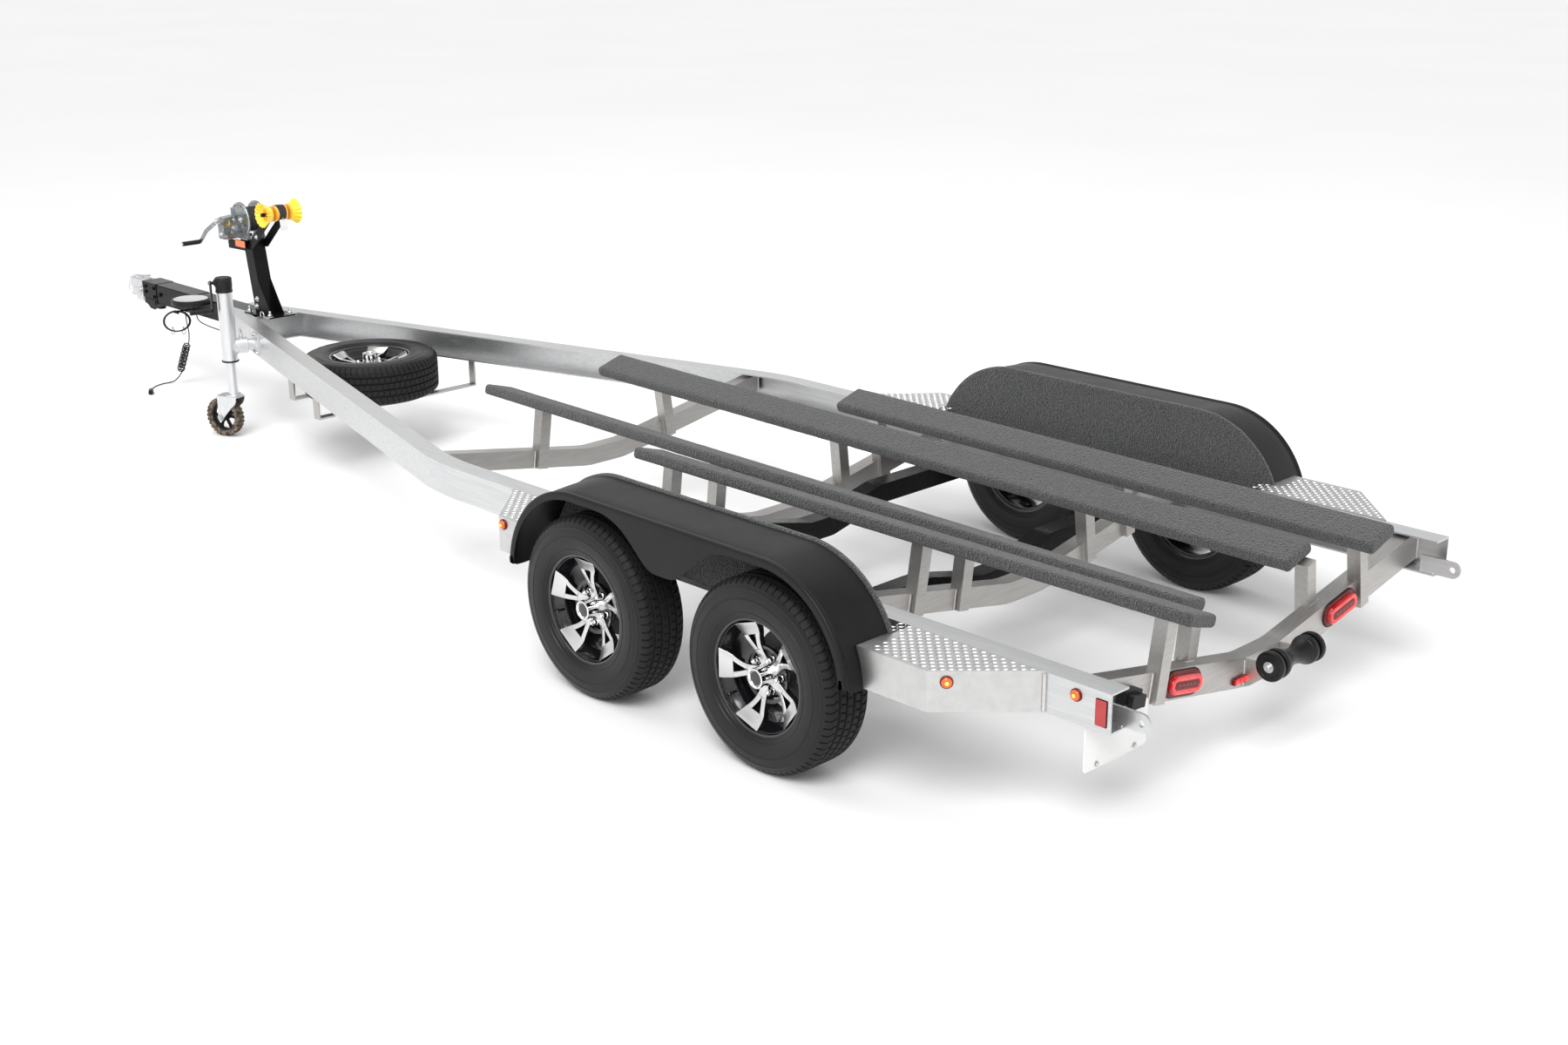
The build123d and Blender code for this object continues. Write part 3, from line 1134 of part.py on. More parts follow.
# ---------------------------------------------------------------- cords
# Routes are given as (ahead of the hook, y, z).
LEAD_HALF = LEAD_DIAMETER / 2
TONGUE_BOTTOM = RAIL_TOP - TONGUE_DEPTH
COIL_START = (-4.0, 60.0, 240.0)
COIL_END = (95.0, 64.0, 70.0)
LEAD_ROUTE = [(10.0, 42.0, TONGUE_BOTTOM), (6.0, 46.0, 372.0), (-22.0, 54.0, 336.0), (-38.6, 58.6, 299.5),
              COIL_START]
TAIL_ROUTE = [COIL_END, (119.0, 66.0, 30.0), (144.0, 88.0, LEAD_HALF), (156.0, 140.0, LEAD_HALF),
              (132.0, 204.0, LEAD_HALF), (82.0, 252.0, LEAD_HALF), (25.0, 284.0, PLUG_RADIUS)]
BRAKE_LINE_ROUTE = [(-120.0, 47.0, TONGUE_BOTTOM), (-120.0, 47.0, 409.0), (-134.0, 49.0, 394.0),
                    (-164.0, 52.0, 386.0), (-220.0, 56.0, 381.0), (-300.0, 62.0, 379.5), (-380.0, 67.0, 381.0),
                    (-440.0, 71.0, 379.0), (-476.0, 75.0, 376.0), (-493.0, 78.0, 379.0), (-500.0, 79.0, 385.0),
                    (-500.0, 79.0, RAIL_BOTTOM)]


def route_points(route):
    """A route's points in the trailer."""
    return [Vector(HOOK_X + ahead, y, z) for ahead, y, z in route]


def corner_radii(points):
    """The largest arc that each corner of a cord's route takes."""
    radii = []
    for before, corner, after in zip(points, points[1:], points[2:]):
        incoming, outgoing = corner - before, after - corner
        half_turn = radians(incoming.get_angle(outgoing)) / 2
        radii.append(0.45 * min(incoming.length, outgoing.length) / tan(half_turn))
    return radii


def cord(route, diameter):
    """A cord's tube along its route of straight runs joined by arcs."""
    points = route_points(route)
    path = FilletPolyline(*points, radius=corner_radii(points))
    section = Plane(origin=path @ 0, z_dir=path % 0) * Circle(diameter / 2)
    return sweep(section, path=path)


def coil():
    """The outer shape of the curly stretch of the lead."""
    start, end = route_points([COIL_START, COIL_END])
    return rod(start, end - start, COIL_DIAMETER / 2, (end - start).length)


def safety_cables():
    """The safety cables, as the ring that their loops fill below the hook."""
    half_length, half_height = CABLE_LOOPS
    across = Vector(sin(radians(CABLE_TURN)), cos(radians(CABLE_TURN)), 0)
    top = HOOK_Z + HOOK_RADIUS + RUNNING_GAP + CABLE_LOOPS_RADIUS
    middle = Vector(HOOK_X - CABLES_BEHIND, TONGUE_HALF + HOOK_REACH, top - half_height)
    face = Plane(origin=middle, x_dir=across, z_dir=across.cross(Vector(0, 0, 1)))
    path = Edge.make_ellipse(half_length, half_height, plane=face)
    section = Plane(origin=path @ 0, z_dir=path % 0) * Circle(CABLE_LOOPS_RADIUS)
    return sweep(section, path=path)


def plug():
    """The lead's plug, lying on the floor."""
    before, end = route_points(TAIL_ROUTE[-2:])
    along = Vector(end.X - before.X, end.Y - before.Y, 0)
    return rod(end, along, PLUG_RADIUS, PLUG_LENGTH)


# ---------------------------------------------------------------- write every piece
left_rail = rail()
save("rail_left", left_rail)
save("rail_right", mirrored(left_rail))
for cross in CROSS.values():
    save(cross["name"], crossmember(cross))
posts = [bunk_post(dict(zip(POST_COLUMNS, row))) for row in POSTS]
save("bunk_posts", Compound(children=posts + [mirrored(post) for post in posts]))
for bunk in BUNK.values():
    save(bunk["name"], both_sides(bunk_board(bunk)))
save("fenders", both_sides(fender()))
save("fender_boards", both_sides(fender_board()))
for name, *offsets in STEPS:
    places = [FENDER_X + offset for offset in offsets]
    save(f"step_boxes_{name}", both_sides(step_box(*places)))
    save(f"step_treads_{name}", both_sides(step_tread(*places)))
save("axle_rear", axle(REAR_AXLE_X))
save("axle_front", axle(FRONT_AXLE_X))

plain_tyre = tyre()
plain_rim = wheel_rim()
for name, x, side in WHEELS:
    for kind, piece, face in (("tyre", plain_tyre, TYRE_FACE_HALF), ("rim", plain_rim, RIM_FACE_HALF)):
        placed = Pos(x, face, AXLE_HEIGHT) * piece
        save(f"{kind}_{name}", placed if side > 0 else mirrored(placed))

save("spare_tyre", laid_flat(plain_tyre, SPARE_FACE_Z + TYRE_FACE_HALF - RIM_FACE_HALF))
save("spare_rim", laid_flat(rim(), SPARE_FACE_Z))
save("spare_carrier", Compound(children=[carrier_hanger(SPARE_X + ahead) for ahead in CARRIER_SPAN]))

save("nose_crossmember", nose_crossmember())
save("tongue", tongue())
save("actuator", actuator())
save("coupler", coupler())
save("foot_pad", foot_pad())
save("pad_bracket", pad_bracket())

save("winch_post", winch_post())
save("bow_yoke", bow_yoke())
save("bow_roller", bow_roller())
save("bow_spool", bow_spool())
save("winch_frame", winch_frame())
save("winch_drum", winch_drum())
save("winch_crank", winch_crank())

save("jack_mount", jack_mount())
save("jack_tube", jack_tube())
save("jack_cap", jack_cap())
save("jack_inner", jack_inner())
save("jack_fork", jack_fork())
save("jack_wheel", jack_wheel())
save("jack_crank", jack_crank())

save("tail_lamps", both_sides(tail_lamp()))
save("marker_bar", marker_bar())
save("number_plate", number_plate())
save("keel_bracket", keel_bracket())
save("keel_roller", keel_roller())

save("cord_lead", cord(LEAD_ROUTE, LEAD_DIAMETER))
save("cord_coil", coil())
save("cord_tail", cord(TAIL_ROUTE, LEAD_DIAMETER))
save("cord_plug", plug())
save("safety_cables", safety_cables())
save("brake_line", cord(BRAKE_LINE_ROUTE, BRAKE_LINE_DIAMETER))
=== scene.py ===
from math import asin, cos, pi, radians, sin, sqrt

import bmesh
import bpy
from mathutils import Matrix, Vector, noise


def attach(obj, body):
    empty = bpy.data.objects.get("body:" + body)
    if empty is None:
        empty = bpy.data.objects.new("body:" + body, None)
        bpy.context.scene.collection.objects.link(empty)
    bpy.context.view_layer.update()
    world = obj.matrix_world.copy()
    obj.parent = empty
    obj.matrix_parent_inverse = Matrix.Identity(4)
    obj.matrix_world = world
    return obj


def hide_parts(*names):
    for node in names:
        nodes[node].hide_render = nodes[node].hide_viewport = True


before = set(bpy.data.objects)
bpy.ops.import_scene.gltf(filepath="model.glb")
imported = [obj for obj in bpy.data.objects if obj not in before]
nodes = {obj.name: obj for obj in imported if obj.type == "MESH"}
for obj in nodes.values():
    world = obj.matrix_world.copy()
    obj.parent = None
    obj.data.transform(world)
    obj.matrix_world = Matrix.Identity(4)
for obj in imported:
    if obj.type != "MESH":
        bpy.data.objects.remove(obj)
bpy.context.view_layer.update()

# Places are written in millimetres of the trailer, ahead of the rails' rear ends, as in part.py.
ORIGIN_X = 3725.5
SIDES = ((1, "left"), (-1, "right"))


def at(x, y, z):
    """A place in the part's frame, in metres."""
    return Vector(((x - ORIGIN_X) / 1000, y / 1000, z / 1000))


# ---------------- camera
CAMERA_PLACE = (-6.7847, 5.2605, 2.7731)
CAMERA_AZIMUTH = 225.49
CAMERA_ELEVATION = 18.46
CAMERA_ROLL = -0.33
CAMERA_LENS = 46.07
SENSOR_WIDTH = 36.0


def camera():
    """The camera at the photograph's place, angle and lens."""
    data = bpy.data.cameras.new("camera")
    data.lens, data.sensor_width, data.sensor_fit = CAMERA_LENS, SENSOR_WIDTH, "HORIZONTAL"
    data.clip_end = 200
    obj = bpy.data.objects.new("camera", data)
    az, el = radians(CAMERA_AZIMUTH), radians(CAMERA_ELEVATION)
    back = Vector((sin(az) * cos(el), -cos(az) * cos(el), sin(el)))
    turn = back.to_track_quat("Z", "Y").to_matrix().to_4x4()
    obj.matrix_world = Matrix.Translation(CAMERA_PLACE) @ turn @ Matrix.Rotation(radians(CAMERA_ROLL), 4, "Z")
    bpy.context.collection.objects.link(obj)
    bpy.context.scene.camera = obj


camera()


# ---------------- materials
class Paint:
    """A material being built: its shader and the links that make its surface."""

    def __init__(self, name, colour, rough=0.5, metal=0.0, **more):
        self.material = bpy.data.materials.new(name)
        self.material.use_nodes = True
        self.tree = self.material.node_tree
        self.shader = self.tree.nodes["Principled BSDF"]
        self.put("Base Color", (*colour, 1))
        self.put("Roughness", rough)
        self.put("Metallic", metal)
        for key, value in more.items():
            self.put(key.replace("_", " "), value)

    def put(self, socket, value):
        self.shader.inputs[socket].default_value = value

    def node(self, kind, **values):
        made = self.tree.nodes.new(kind)
        for key, value in values.items():
            if key in made.inputs:
                made.inputs[key].default_value = value
            else:
                setattr(made, key, value)
        return made

    def link(self, source, target):
        self.tree.links.new(source, target)

    def place(self, scale=(1, 1, 1)):
        """Object coordinates, stretched."""
        coords = self.node("ShaderNodeTexCoord")
        mapping = self.node("ShaderNodeMapping")
        mapping.inputs["Scale"].default_value = scale
        self.link(coords.outputs["Object"], mapping.inputs["Vector"])
        return mapping.outputs["Vector"]

    def noise(self, scale, detail=4.0, stretch=(1, 1, 1), rough=0.55):
        made = self.node("ShaderNodeTexNoise", Scale=scale, Detail=detail, Roughness=rough)
        self.link(self.place(stretch), made.inputs["Vector"])
        return made.outputs["Fac"]

    def ramp(self, factor, stops):
        made = self.node("ShaderNodeValToRGB")
        elements = made.color_ramp.elements
        while len(elements) < len(stops):
            elements.new(0.5)
        for element, (place, value) in zip(elements, stops):
            element.position = place
            element.color = (*value, 1) if isinstance(value, tuple) else (value, value, value, 1)
        self.link(factor, made.inputs["Fac"])
        return made.outputs["Color"]

    def colour_by(self, factor, stops):
        self.link(self.ramp(factor, stops), self.shader.inputs["Base Color"])

    def rough_by(self, factor, low, high):
        spread = self.node("ShaderNodeMapRange")
        spread.inputs["To Min"].default_value = low
        spread.inputs["To Max"].default_value = high
        self.link(factor, spread.inputs["Value"])
        self.link(spread.outputs["Result"], self.shader.inputs["Roughness"])

    def bump(self, height, strength=0.3, distance=0.001):
        made = self.node("ShaderNodeBump", Strength=strength, Distance=distance)
        last = self.shader.inputs["Normal"]
        if last.is_linked:
            self.link(last.links[0].from_socket, made.inputs["Normal"])
        self.link(height, made.inputs["Height"])
        self.link(made.outputs["Normal"], last)


def aluminium(name, colour, rough, stretch, dirt=0.12):
    """Mill-finish aluminium, drawn along one direction."""
    paint = Paint(name, colour, rough, 1.0)
    streaks = paint.noise(9.0, 6.0, stretch)
    low = tuple(c * (1 - dirt) for c in colour)
    paint.colour_by(streaks, [(0.3, low), (0.62, colour)])
    paint.rough_by(paint.noise(5.0, 5.0, stretch), rough - 0.07, rough + 0.1)
    paint.bump(paint.noise(60.0, 3.0, stretch), 0.12, 0.0006)
    return paint.material


def coated(name, colour, rough, grain, strength, lift=1.5, **more):
    """Paint or moulded plastic with a fine grain."""
    paint = Paint(name, colour, rough, **more)
    high = tuple(min(1.0, c * lift) for c in colour)
    paint.colour_by(paint.noise(7.0, 5.0), [(0.35, colour), (0.75, high)])
    paint.rough_by(paint.noise(14.0, 4.0), rough - 0.06, rough + 0.08)
    paint.bump(paint.noise(grain, 2.0), strength, 0.0008)
    return paint.material


def carpet():
    """Charcoal looped carpet: heathered loops with a soft sheen."""
    paint = Paint("carpet", (0.04, 0.041, 0.042), 1.0)
    loops = paint.node("ShaderNodeTexVoronoi", Scale=170.0)
    paint.link(paint.place(), loops.inputs["Vector"])
    paint.colour_by(paint.noise(190.0, 3.0, rough=0.7),
                    [(0.38, (0.008, 0.0083, 0.0088)), (0.62, (0.070, 0.071, 0.073))])
    paint.bump(loops.outputs["Distance"], 1.0, 0.006)
    paint.bump(paint.noise(55.0, 3.0), 0.5, 0.004)
    paint.put("Sheen Weight", 0.25)
    paint.put("Sheen Roughness", 0.6)
    return paint.material


def rubber(name, colour, rough=0.55):
    """Tyre rubber: near black, dusty in patches."""
    paint = Paint(name, colour, rough, Specular_IOR_Level=0.3)
    high = tuple(c * 1.6 for c in colour)
    paint.colour_by(paint.noise(6.0, 6.0), [(0.4, colour), (0.8, high)])
    paint.rough_by(paint.noise(11.0, 5.0), rough - 0.1, rough + 0.14)
    paint.bump(paint.noise(240.0, 3.0), 0.15, 0.0004)
    return paint.material


def translucent(name, colour, rough, **more):
    """Tinted plastic that light gets into, as in a lens or a urethane roller."""
    paint = Paint(name, colour, rough, **more)
    high = tuple(min(1.0, c * 1.12 + 0.01) for c in colour)
    paint.colour_by(paint.noise(18.0, 3.0), [(0.35, colour), (0.7, high)])
    paint.rough_by(paint.noise(40.0, 3.0), rough - 0.05, rough + 0.07)
    paint.bump(paint.noise(90.0, 2.0), 0.12, 0.0006)
    return paint.material


def woven(name, colour, threads):
    """A strap's close weave: ribs across and fine yarns along."""
    paint = Paint(name, colour, 0.75)
    waves = paint.node("ShaderNodeTexWave", Scale=threads, Distortion=0.4)
    waves.bands_direction = "DIAGONAL"
    paint.link(paint.place(), waves.inputs["Vector"])
    high = tuple(c * 2.4 + 0.01 for c in colour)
    paint.colour_by(waves.outputs["Fac"], [(0.3, colour), (0.8, high)])
    paint.bump(waves.outputs["Fac"], 0.6, 0.0008)
    paint.bump(paint.noise(500.0, 2.0), 0.3, 0.0005)
    return paint.material


def dusty():
    """Tread rubber with dried mud in it."""
    paint = Paint("dusty_rubber", (0.05, 0.04, 0.03), 0.85)
    mud = paint.noise(60.0, 6.0)
    paint.colour_by(mud, [(0.38, (0.02, 0.018, 0.016)), (0.5, (0.11, 0.08, 0.055)),
                          (0.66, (0.26, 0.21, 0.17))])
    paint.bump(mud, 0.7, 0.002)
    return paint.material


def lit(name, colour, strength):
    """A lamp's lens with the light on."""
    paint = Paint(name, colour, 0.25)
    high = tuple(min(1.0, c * 1.1 + 0.05) for c in colour)
    spread = paint.ramp(paint.noise(30.0, 2.0), [(0.3, colour), (0.7, high)])
    paint.link(spread, paint.shader.inputs["Base Color"])
    paint.link(spread, paint.shader.inputs["Emission Color"])
    paint.put("Emission Strength", strength)
    return paint.material


MATERIALS = {
    "rail": aluminium("rail_aluminium", (0.66, 0.665, 0.67), 0.38, (0.6, 14, 14)),
    "cross": aluminium("cross_aluminium", (0.50, 0.485, 0.47), 0.4, (10, 0.8, 10)),
    "plate": aluminium("plate_aluminium", (0.58, 0.58, 0.575), 0.34, (3, 3, 3), 0.1),
    "carpet": carpet(),
    "fender": coated("fender_black", (0.007, 0.007, 0.0075), 0.42, 900.0, 0.25, Specular_IOR_Level=0.2),
    "steel": coated("black_steel", (0.004, 0.004, 0.0045), 0.26, 60.0, 0.05, Specular_IOR_Level=0.13),
    "satin": coated("satin_black", (0.007, 0.007, 0.007), 0.42, 300.0, 0.2, Specular_IOR_Level=0.26),
    "tyre": rubber("tyre_rubber", (0.0045, 0.0047, 0.0055), 0.36),
    "tread": rubber("tyre_tread", (0.007, 0.007, 0.0073), 0.66),
    "rubber": rubber("black_rubber", (0.006, 0.006, 0.006), 0.42),
    "machined": aluminium("machined_alloy", (0.70, 0.70, 0.70), 0.27, (1, 1, 1), 0.12),
    "alloy_black": coated("alloy_black", (0.005, 0.005, 0.006), 0.16, 80.0, 0.05, Coat_Weight=0.5),
    "chrome": aluminium("chrome", (0.84, 0.84, 0.85), 0.08, (1, 1, 1), 0.04),
    "zinc": aluminium("zinc_steel", (0.62, 0.63, 0.64), 0.3, (4, 4, 4), 0.25),
    "iron": coated("grey_iron", (0.10, 0.10, 0.10), 0.5, 200.0, 0.3, Metallic=0.7),
    "silver": aluminium("jack_silver", (0.76, 0.765, 0.78), 0.36, (6, 6, 1), 0.1),
    "galvanised": aluminium("galvanised_steel", (0.40, 0.42, 0.43), 0.28, (5, 5, 5), 0.45),
    "weld": aluminium("weld_bead", (0.66, 0.65, 0.64), 0.36, (8, 8, 8), 0.1),
    "gold": aluminium("yellow_zinc", (0.62, 0.47, 0.16), 0.32, (5, 5, 5), 0.2),
    "red_lens": translucent("red_lens", (0.36, 0.006, 0.008), 0.14, Coat_Weight=0.6),
    "amber": translucent("amber_lens", (0.62, 0.11, 0.008), 0.15, Coat_Weight=0.6),
    "orange": translucent("orange_reflector", (0.80, 0.16, 0.01), 0.2, Coat_Weight=0.5),
    "urethane": translucent("yellow_urethane", (0.92, 0.66, 0.012), 0.22, Coat_Weight=0.4),
    "urethane_neck": translucent("orange_urethane", (0.86, 0.40, 0.03), 0.22, Coat_Weight=0.4),
    "plate_white": coated("blank_plate", (0.74, 0.74, 0.73), 0.35, 60.0, 0.06, 1.05),
    "lamp_white": translucent("clear_lens", (0.75, 0.75, 0.72), 0.15),
    "pad_white": coated("worn_pad", (0.50, 0.50, 0.49), 0.55, 90.0, 0.5, 1.3),
    "red_dark": translucent("red_flange", (0.12, 0.002, 0.003), 0.25, Specular_IOR_Level=0.3),
    "red_glow": lit("lit_red", (1.0, 0.012, 0.014), 1.0),
    "amber_glow": lit("lit_amber", (1.0, 0.42, 0.03), 1.2),
    "lozenge": aluminium("raised_lozenges", (0.60, 0.605, 0.61), 0.36, (6, 6, 6), 0.1),
    "gloss_rubber": rubber("roller_rubber", (0.004, 0.004, 0.004), 0.3),
    "strap": woven("black_webbing", (0.010, 0.010, 0.011), 260.0),
    "dusty": dusty(),
}


def dress(node, *keys):
    """Give a CAD node's material slots their finish."""
    for index, slot in enumerate(nodes[node].material_slots):
        slot.material = MATERIALS[keys[min(index, len(keys) - 1)]]


# ---------------- mesh making
BEVEL_STEPS, BEVEL_ANGLE = 2, 40


class Form:
    """Vertices and faces in millimetres, each face with a material."""

    def __init__(self, *finishes):
        self.finishes = finishes
        self.points, self.faces, self.marks = [], [], []

    def add(self, points, faces, finish=0, place=None):
        base = len(self.points)
        self.points += [place @ Vector(p) if place else Vector(p) for p in points]
        self.faces += [tuple(base + i for i in face) for face in faces]
        self.marks += [finish] * len(faces)

    def grid(self, rows, finish=0, place=None, loop_rows=False, loop_columns=False):
        """A sheet of quads through rows of points."""
        high, wide = len(rows), len(rows[0])
        faces = []
        for i in range(high if loop_rows else high - 1):
            for j in range(wide if loop_columns else wide - 1):
                a, b = i * wide + j, i * wide + (j + 1) % wide
                c, d = ((i + 1) % high) * wide + (j + 1) % wide, ((i + 1) % high) * wide + j
                faces.append((a, b, c, d))
        self.add([p for row in rows for p in row], faces, finish, place)

    def lathe(self, profile, place, segments=48, finish=0, closed=False):
        """A profile of (radius, height) turned about the place's Z axis."""
        rows = []
        for step in range(segments):
            turn = 2 * pi * step / segments
            rows.append([(r * cos(turn), r * sin(turn), z) for r, z in profile])
        self.grid(rows, finish, place, loop_rows=True, loop_columns=closed)

    def prism(self, outline, low, high, place=None, finish=0):
        """An outline in (x, y) between two heights."""
        count = len(outline)
        points = [(x, y, low) for x, y in outline] + [(x, y, high) for x, y in outline]
        self.add(points, [tuple(range(count))[::-1], tuple(range(count, 2 * count))], finish, place)
        walls = [(i, (i + 1) % count, count + (i + 1) % count, count + i) for i in range(count)]
        self.add(points, walls, finish, place)

    def block(self, x_span, y_span, z_span, finish=0, place=None):
        (a, b), (c, d), (e, f) = x_span, y_span, z_span
        self.prism([(a, c), (b, c), (b, d), (a, d)], e, f, place, finish)

    def tube(self, route, radius, segments=12, finish=0, caps=True, place=None):
        """A round bar along a route; radius may be a list."""
        points = [Vector(p) for p in route]
        radii = radius if isinstance(radius, (list, tuple)) else [radius] * len(points)
        rows, side = [], None
        for index, point in enumerate(points):
            before, after = points[max(0, index - 1)], points[min(len(points) - 1, index + 1)]
            along = (after - before).normalized()
            if side is None:
                side = along.orthogonal().normalized()
            side = (side - along * side.dot(along)).normalized()
            up = along.cross(side)
            turns = [2 * pi * k / segments for k in range(segments)]
            rows.append([point + (side * cos(turn) + up * sin(turn)) * radii[index] for turn in turns])
        self.grid(rows, finish, place, loop_columns=True)
        if caps:
            self.add(rows[0], [tuple(range(segments))[::-1]], finish, place)
            self.add(rows[-1], [tuple(range(segments))], finish, place)

    def bolt(self, place, size=13.0, finish=0, washer=True, tall=None):
        """A hexagon head on its washer, standing on the place's Z axis."""
        head = size * 0.55 if tall is None else tall
        start = 1.6 if washer else 0.0
        if washer:
            self.lathe([(0, 0), (size * 0.95, 0), (size * 0.95, start), (0, start)], place, 16, finish)
        radius = size / 2 / cos(pi / 6)
        hexagon = [(radius * cos(pi / 3 * k), radius * sin(pi / 3 * k)) for k in range(6)]
        small = [(x * 0.86, y * 0.86) for x, y in hexagon]
        self.prism(hexagon, start, start + head * 0.8, place, finish)
        points = [(x, y, start + head * 0.8) for x, y in hexagon] + [(x, y, start + head) for x, y in small]
        self.add(points, [(i, (i + 1) % 6, 6 + (i + 1) % 6, 6 + i) for i in range(6)] + [tuple(range(6, 12))],
                 finish, place)

    def make(self, name, body="frame", slot=None, replaces=(), bevel=0.0, smooth=38.0, merge=0.01):
        """The finished object, riding on its body."""
        mesh = bpy.data.meshes.new(name)
        shifted = [((p.x - ORIGIN_X) / 1000, p.y / 1000, p.z / 1000) for p in self.points]
        mesh.from_pydata(shifted, [], self.faces)
        for key in self.finishes:
            mesh.materials.append(MATERIALS[key])
        mesh.polygons.foreach_set("material_index", self.marks)
        work = bmesh.new()
        work.from_mesh(mesh)
        bmesh.ops.remove_doubles(work, verts=work.verts, dist=merge / 1000)
        bmesh.ops.dissolve_degenerate(work, edges=work.edges, dist=1e-7)
        loose = [v for v in work.verts if not v.link_faces]
        bmesh.ops.delete(work, geom=loose, context="VERTS")
        bmesh.ops.recalc_face_normals(work, faces=work.faces)
        work.to_mesh(mesh)
        work.free()
        mesh.shade_smooth()
        mesh.set_sharp_from_angle(angle=radians(smooth))
        obj = bpy.data.objects.new(name, mesh)
        bpy.context.collection.objects.link(obj)
        if bevel:
            edge = obj.modifiers.new("edge", "BEVEL")
            edge.width, edge.segments = bevel / 1000, BEVEL_STEPS
            edge.limit_method, edge.angle_limit = "ANGLE", radians(BEVEL_ANGLE)
            edge.harden_normals = True
        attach(obj, body)
        if replaces:
            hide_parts(*replaces)
        return obj


def axes(origin, z, x=None):
    """A frame in trailer millimetres from an origin, its Z direction and a hint for X."""
    up = Vector(z).normalized()
    hint = Vector(x) if x else up.orthogonal()
    side = (hint - up * hint.dot(up)).normalized()
    across = up.cross(side)
    turn = Matrix((side, across, up)).transposed().to_4x4()
    return Matrix.Translation(Vector(origin)) @ turn


def flank(x, out, z, side=1):
    """A place on a side face: its X forward and its Z away from the trailer's middle."""
    return axes((x, side * out, z), (0, side, 0), (1, 0, 0))


def arc(radius, start, stop, step, x=0.0, y=0.0):
    """Points along part of a circle, between angles in whole degrees."""
    return [(x + radius * cos(radians(a)), y + radius * sin(radians(a))) for a in range(start, stop, step)]


# ---------------- cords
LEAD_ROUTE = [(6900, 42, 421), (6896, 46, 372), (6868, 54, 336), (6851.4, 58.6, 299.5), (6886, 60, 240)]
TAIL_ROUTE = [(6985, 64, 70), (7009, 66, 30), (7034, 88, 3), (7046, 140, 3), (7022, 204, 3), (6972, 252, 3),
              (6915, 284, 13)]
LEAD_RADIUS = 3.0
COIL_RADIUS = 18.0
COIL_TURNS = 15
COIL_STEPS = 12


def curly_route():
    """The lead, its curly stretch as a helix, and the tail on the floor."""
    start, end = Vector(LEAD_ROUTE[-1]), Vector(TAIL_ROUTE[0])
    along = (end - start).normalized()
    side = along.orthogonal().normalized()
    up = along.cross(side)
    total = COIL_TURNS * COIL_STEPS
    helix = []
    for step in range(total + 1):
        turn = 2 * pi * step / COIL_STEPS
        ease = min(1.0, 0.55 + 0.45 * min(step, total - step) / COIL_STEPS)
        out = COIL_RADIUS * ease * (1 + 0.07 * sin(step * 0.21))
        helix.append(start.lerp(end, step / total) + (side * cos(turn) + up * sin(turn)) * out)
    return [Vector(p) for p in LEAD_ROUTE[:-1]] + helix + [Vector(p) for p in TAIL_ROUTE[1:]]


def cord_curve(name, route, radius, key):
    """A round cord on one smooth line."""
    data = bpy.data.curves.new(name, "CURVE")
    data.dimensions = "3D"
    data.bevel_depth = radius / 1000
    data.bevel_resolution = 3
    data.use_fill_caps = True
    data.resolution_u = 4
    spline = data.splines.new("NURBS")
    spline.points.add(len(route) - 1)
    for point, place in zip(spline.points, route):
        point.co = (*at(*place), 1)
    spline.order_u = 3
    spline.use_endpoint_u = True
    data.materials.append(MATERIALS[key])
    obj = bpy.data.objects.new(name, data)
    bpy.context.collection.objects.link(obj)
    return obj


def curve_length(obj):
    """Length of a cord's centre line, in metres."""
    data = obj.data.copy()
    data.bevel_depth = 0
    probe = bpy.data.objects.new("probe", data)
    mesh = bpy.data.meshes.new_from_object(probe)
    places = [v.co.copy() for v in mesh.vertices]
    bpy.data.objects.remove(probe)
    bpy.data.meshes.remove(mesh)
    bpy.data.curves.remove(data)
    return sum((b - a).length for a, b in zip(places, places[1:]))


lead = cord_curve("breakaway_lead", curly_route(), LEAD_RADIUS, "rubber")
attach(lead, "frame")
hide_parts("cord_lead", "cord_coil", "cord_tail")
dress("cord_plug", "rubber")
round(curve_length(lead), 3)


# ---------------- finishes of the CAD nodes
for node in ("rail_left", "rail_right", "nose_crossmember"):
    dress(node, "rail")
for node in ("crossmember_rear", "crossmember_axle", "crossmember_mid", "crossmember_front", "bunk_posts"):
    dress(node, "cross")
for node in ("step_boxes_front", "step_boxes_rear", "step_treads_front", "step_treads_rear"):
    dress(node, "plate")
for node in ("bunks_inner", "bunks_outer", "fender_boards"):
    dress(node, "carpet")
dress("fenders", "fender")
for node in ("axle_front", "axle_rear", "tongue", "actuator", "winch_post", "bow_yoke", "pad_bracket"):
    dress(node, "steel")
dress("spare_carrier", "cross")
for node in nodes:
    if node.startswith("tyre_") or node == "spare_tyre":
        dress(node, "tyre")
    if node.startswith("rim_") or node == "spare_rim":
        dress(node, "machined")


# ---------------- wheels and tyres
AXLE_HEIGHT = 326.0
REAR_AXLE_X, FRONT_AXLE_X = 1136.0, 1985.0
RIM_FACE = 1262.0
TYRE_MIDDLE = -88.0
PITCHES = 72
# Half of the tyre's section: distance out from its middle, radius.
SIDEWALL = [(78, 184), (82, 186), (86, 190), (88.5, 195), (89.5, 199), (92, 200.5), (93.5, 203), (94, 207),
            (96, 210), (96.6, 212), (98.6, 213.5), (98.9, 216), (97.9, 217.5), (98.6, 220), (100.6, 234),
            (101.4, 250), (101.4, 258), (100.0, 259.5), (99.8, 262), (101.0, 263.5), (100.4, 270),
            (99.0, 281), (97.6, 287),
            (98.4, 288.5), (98.2, 292), (96.4, 294), (94.4, 301), (91.6, 307)]
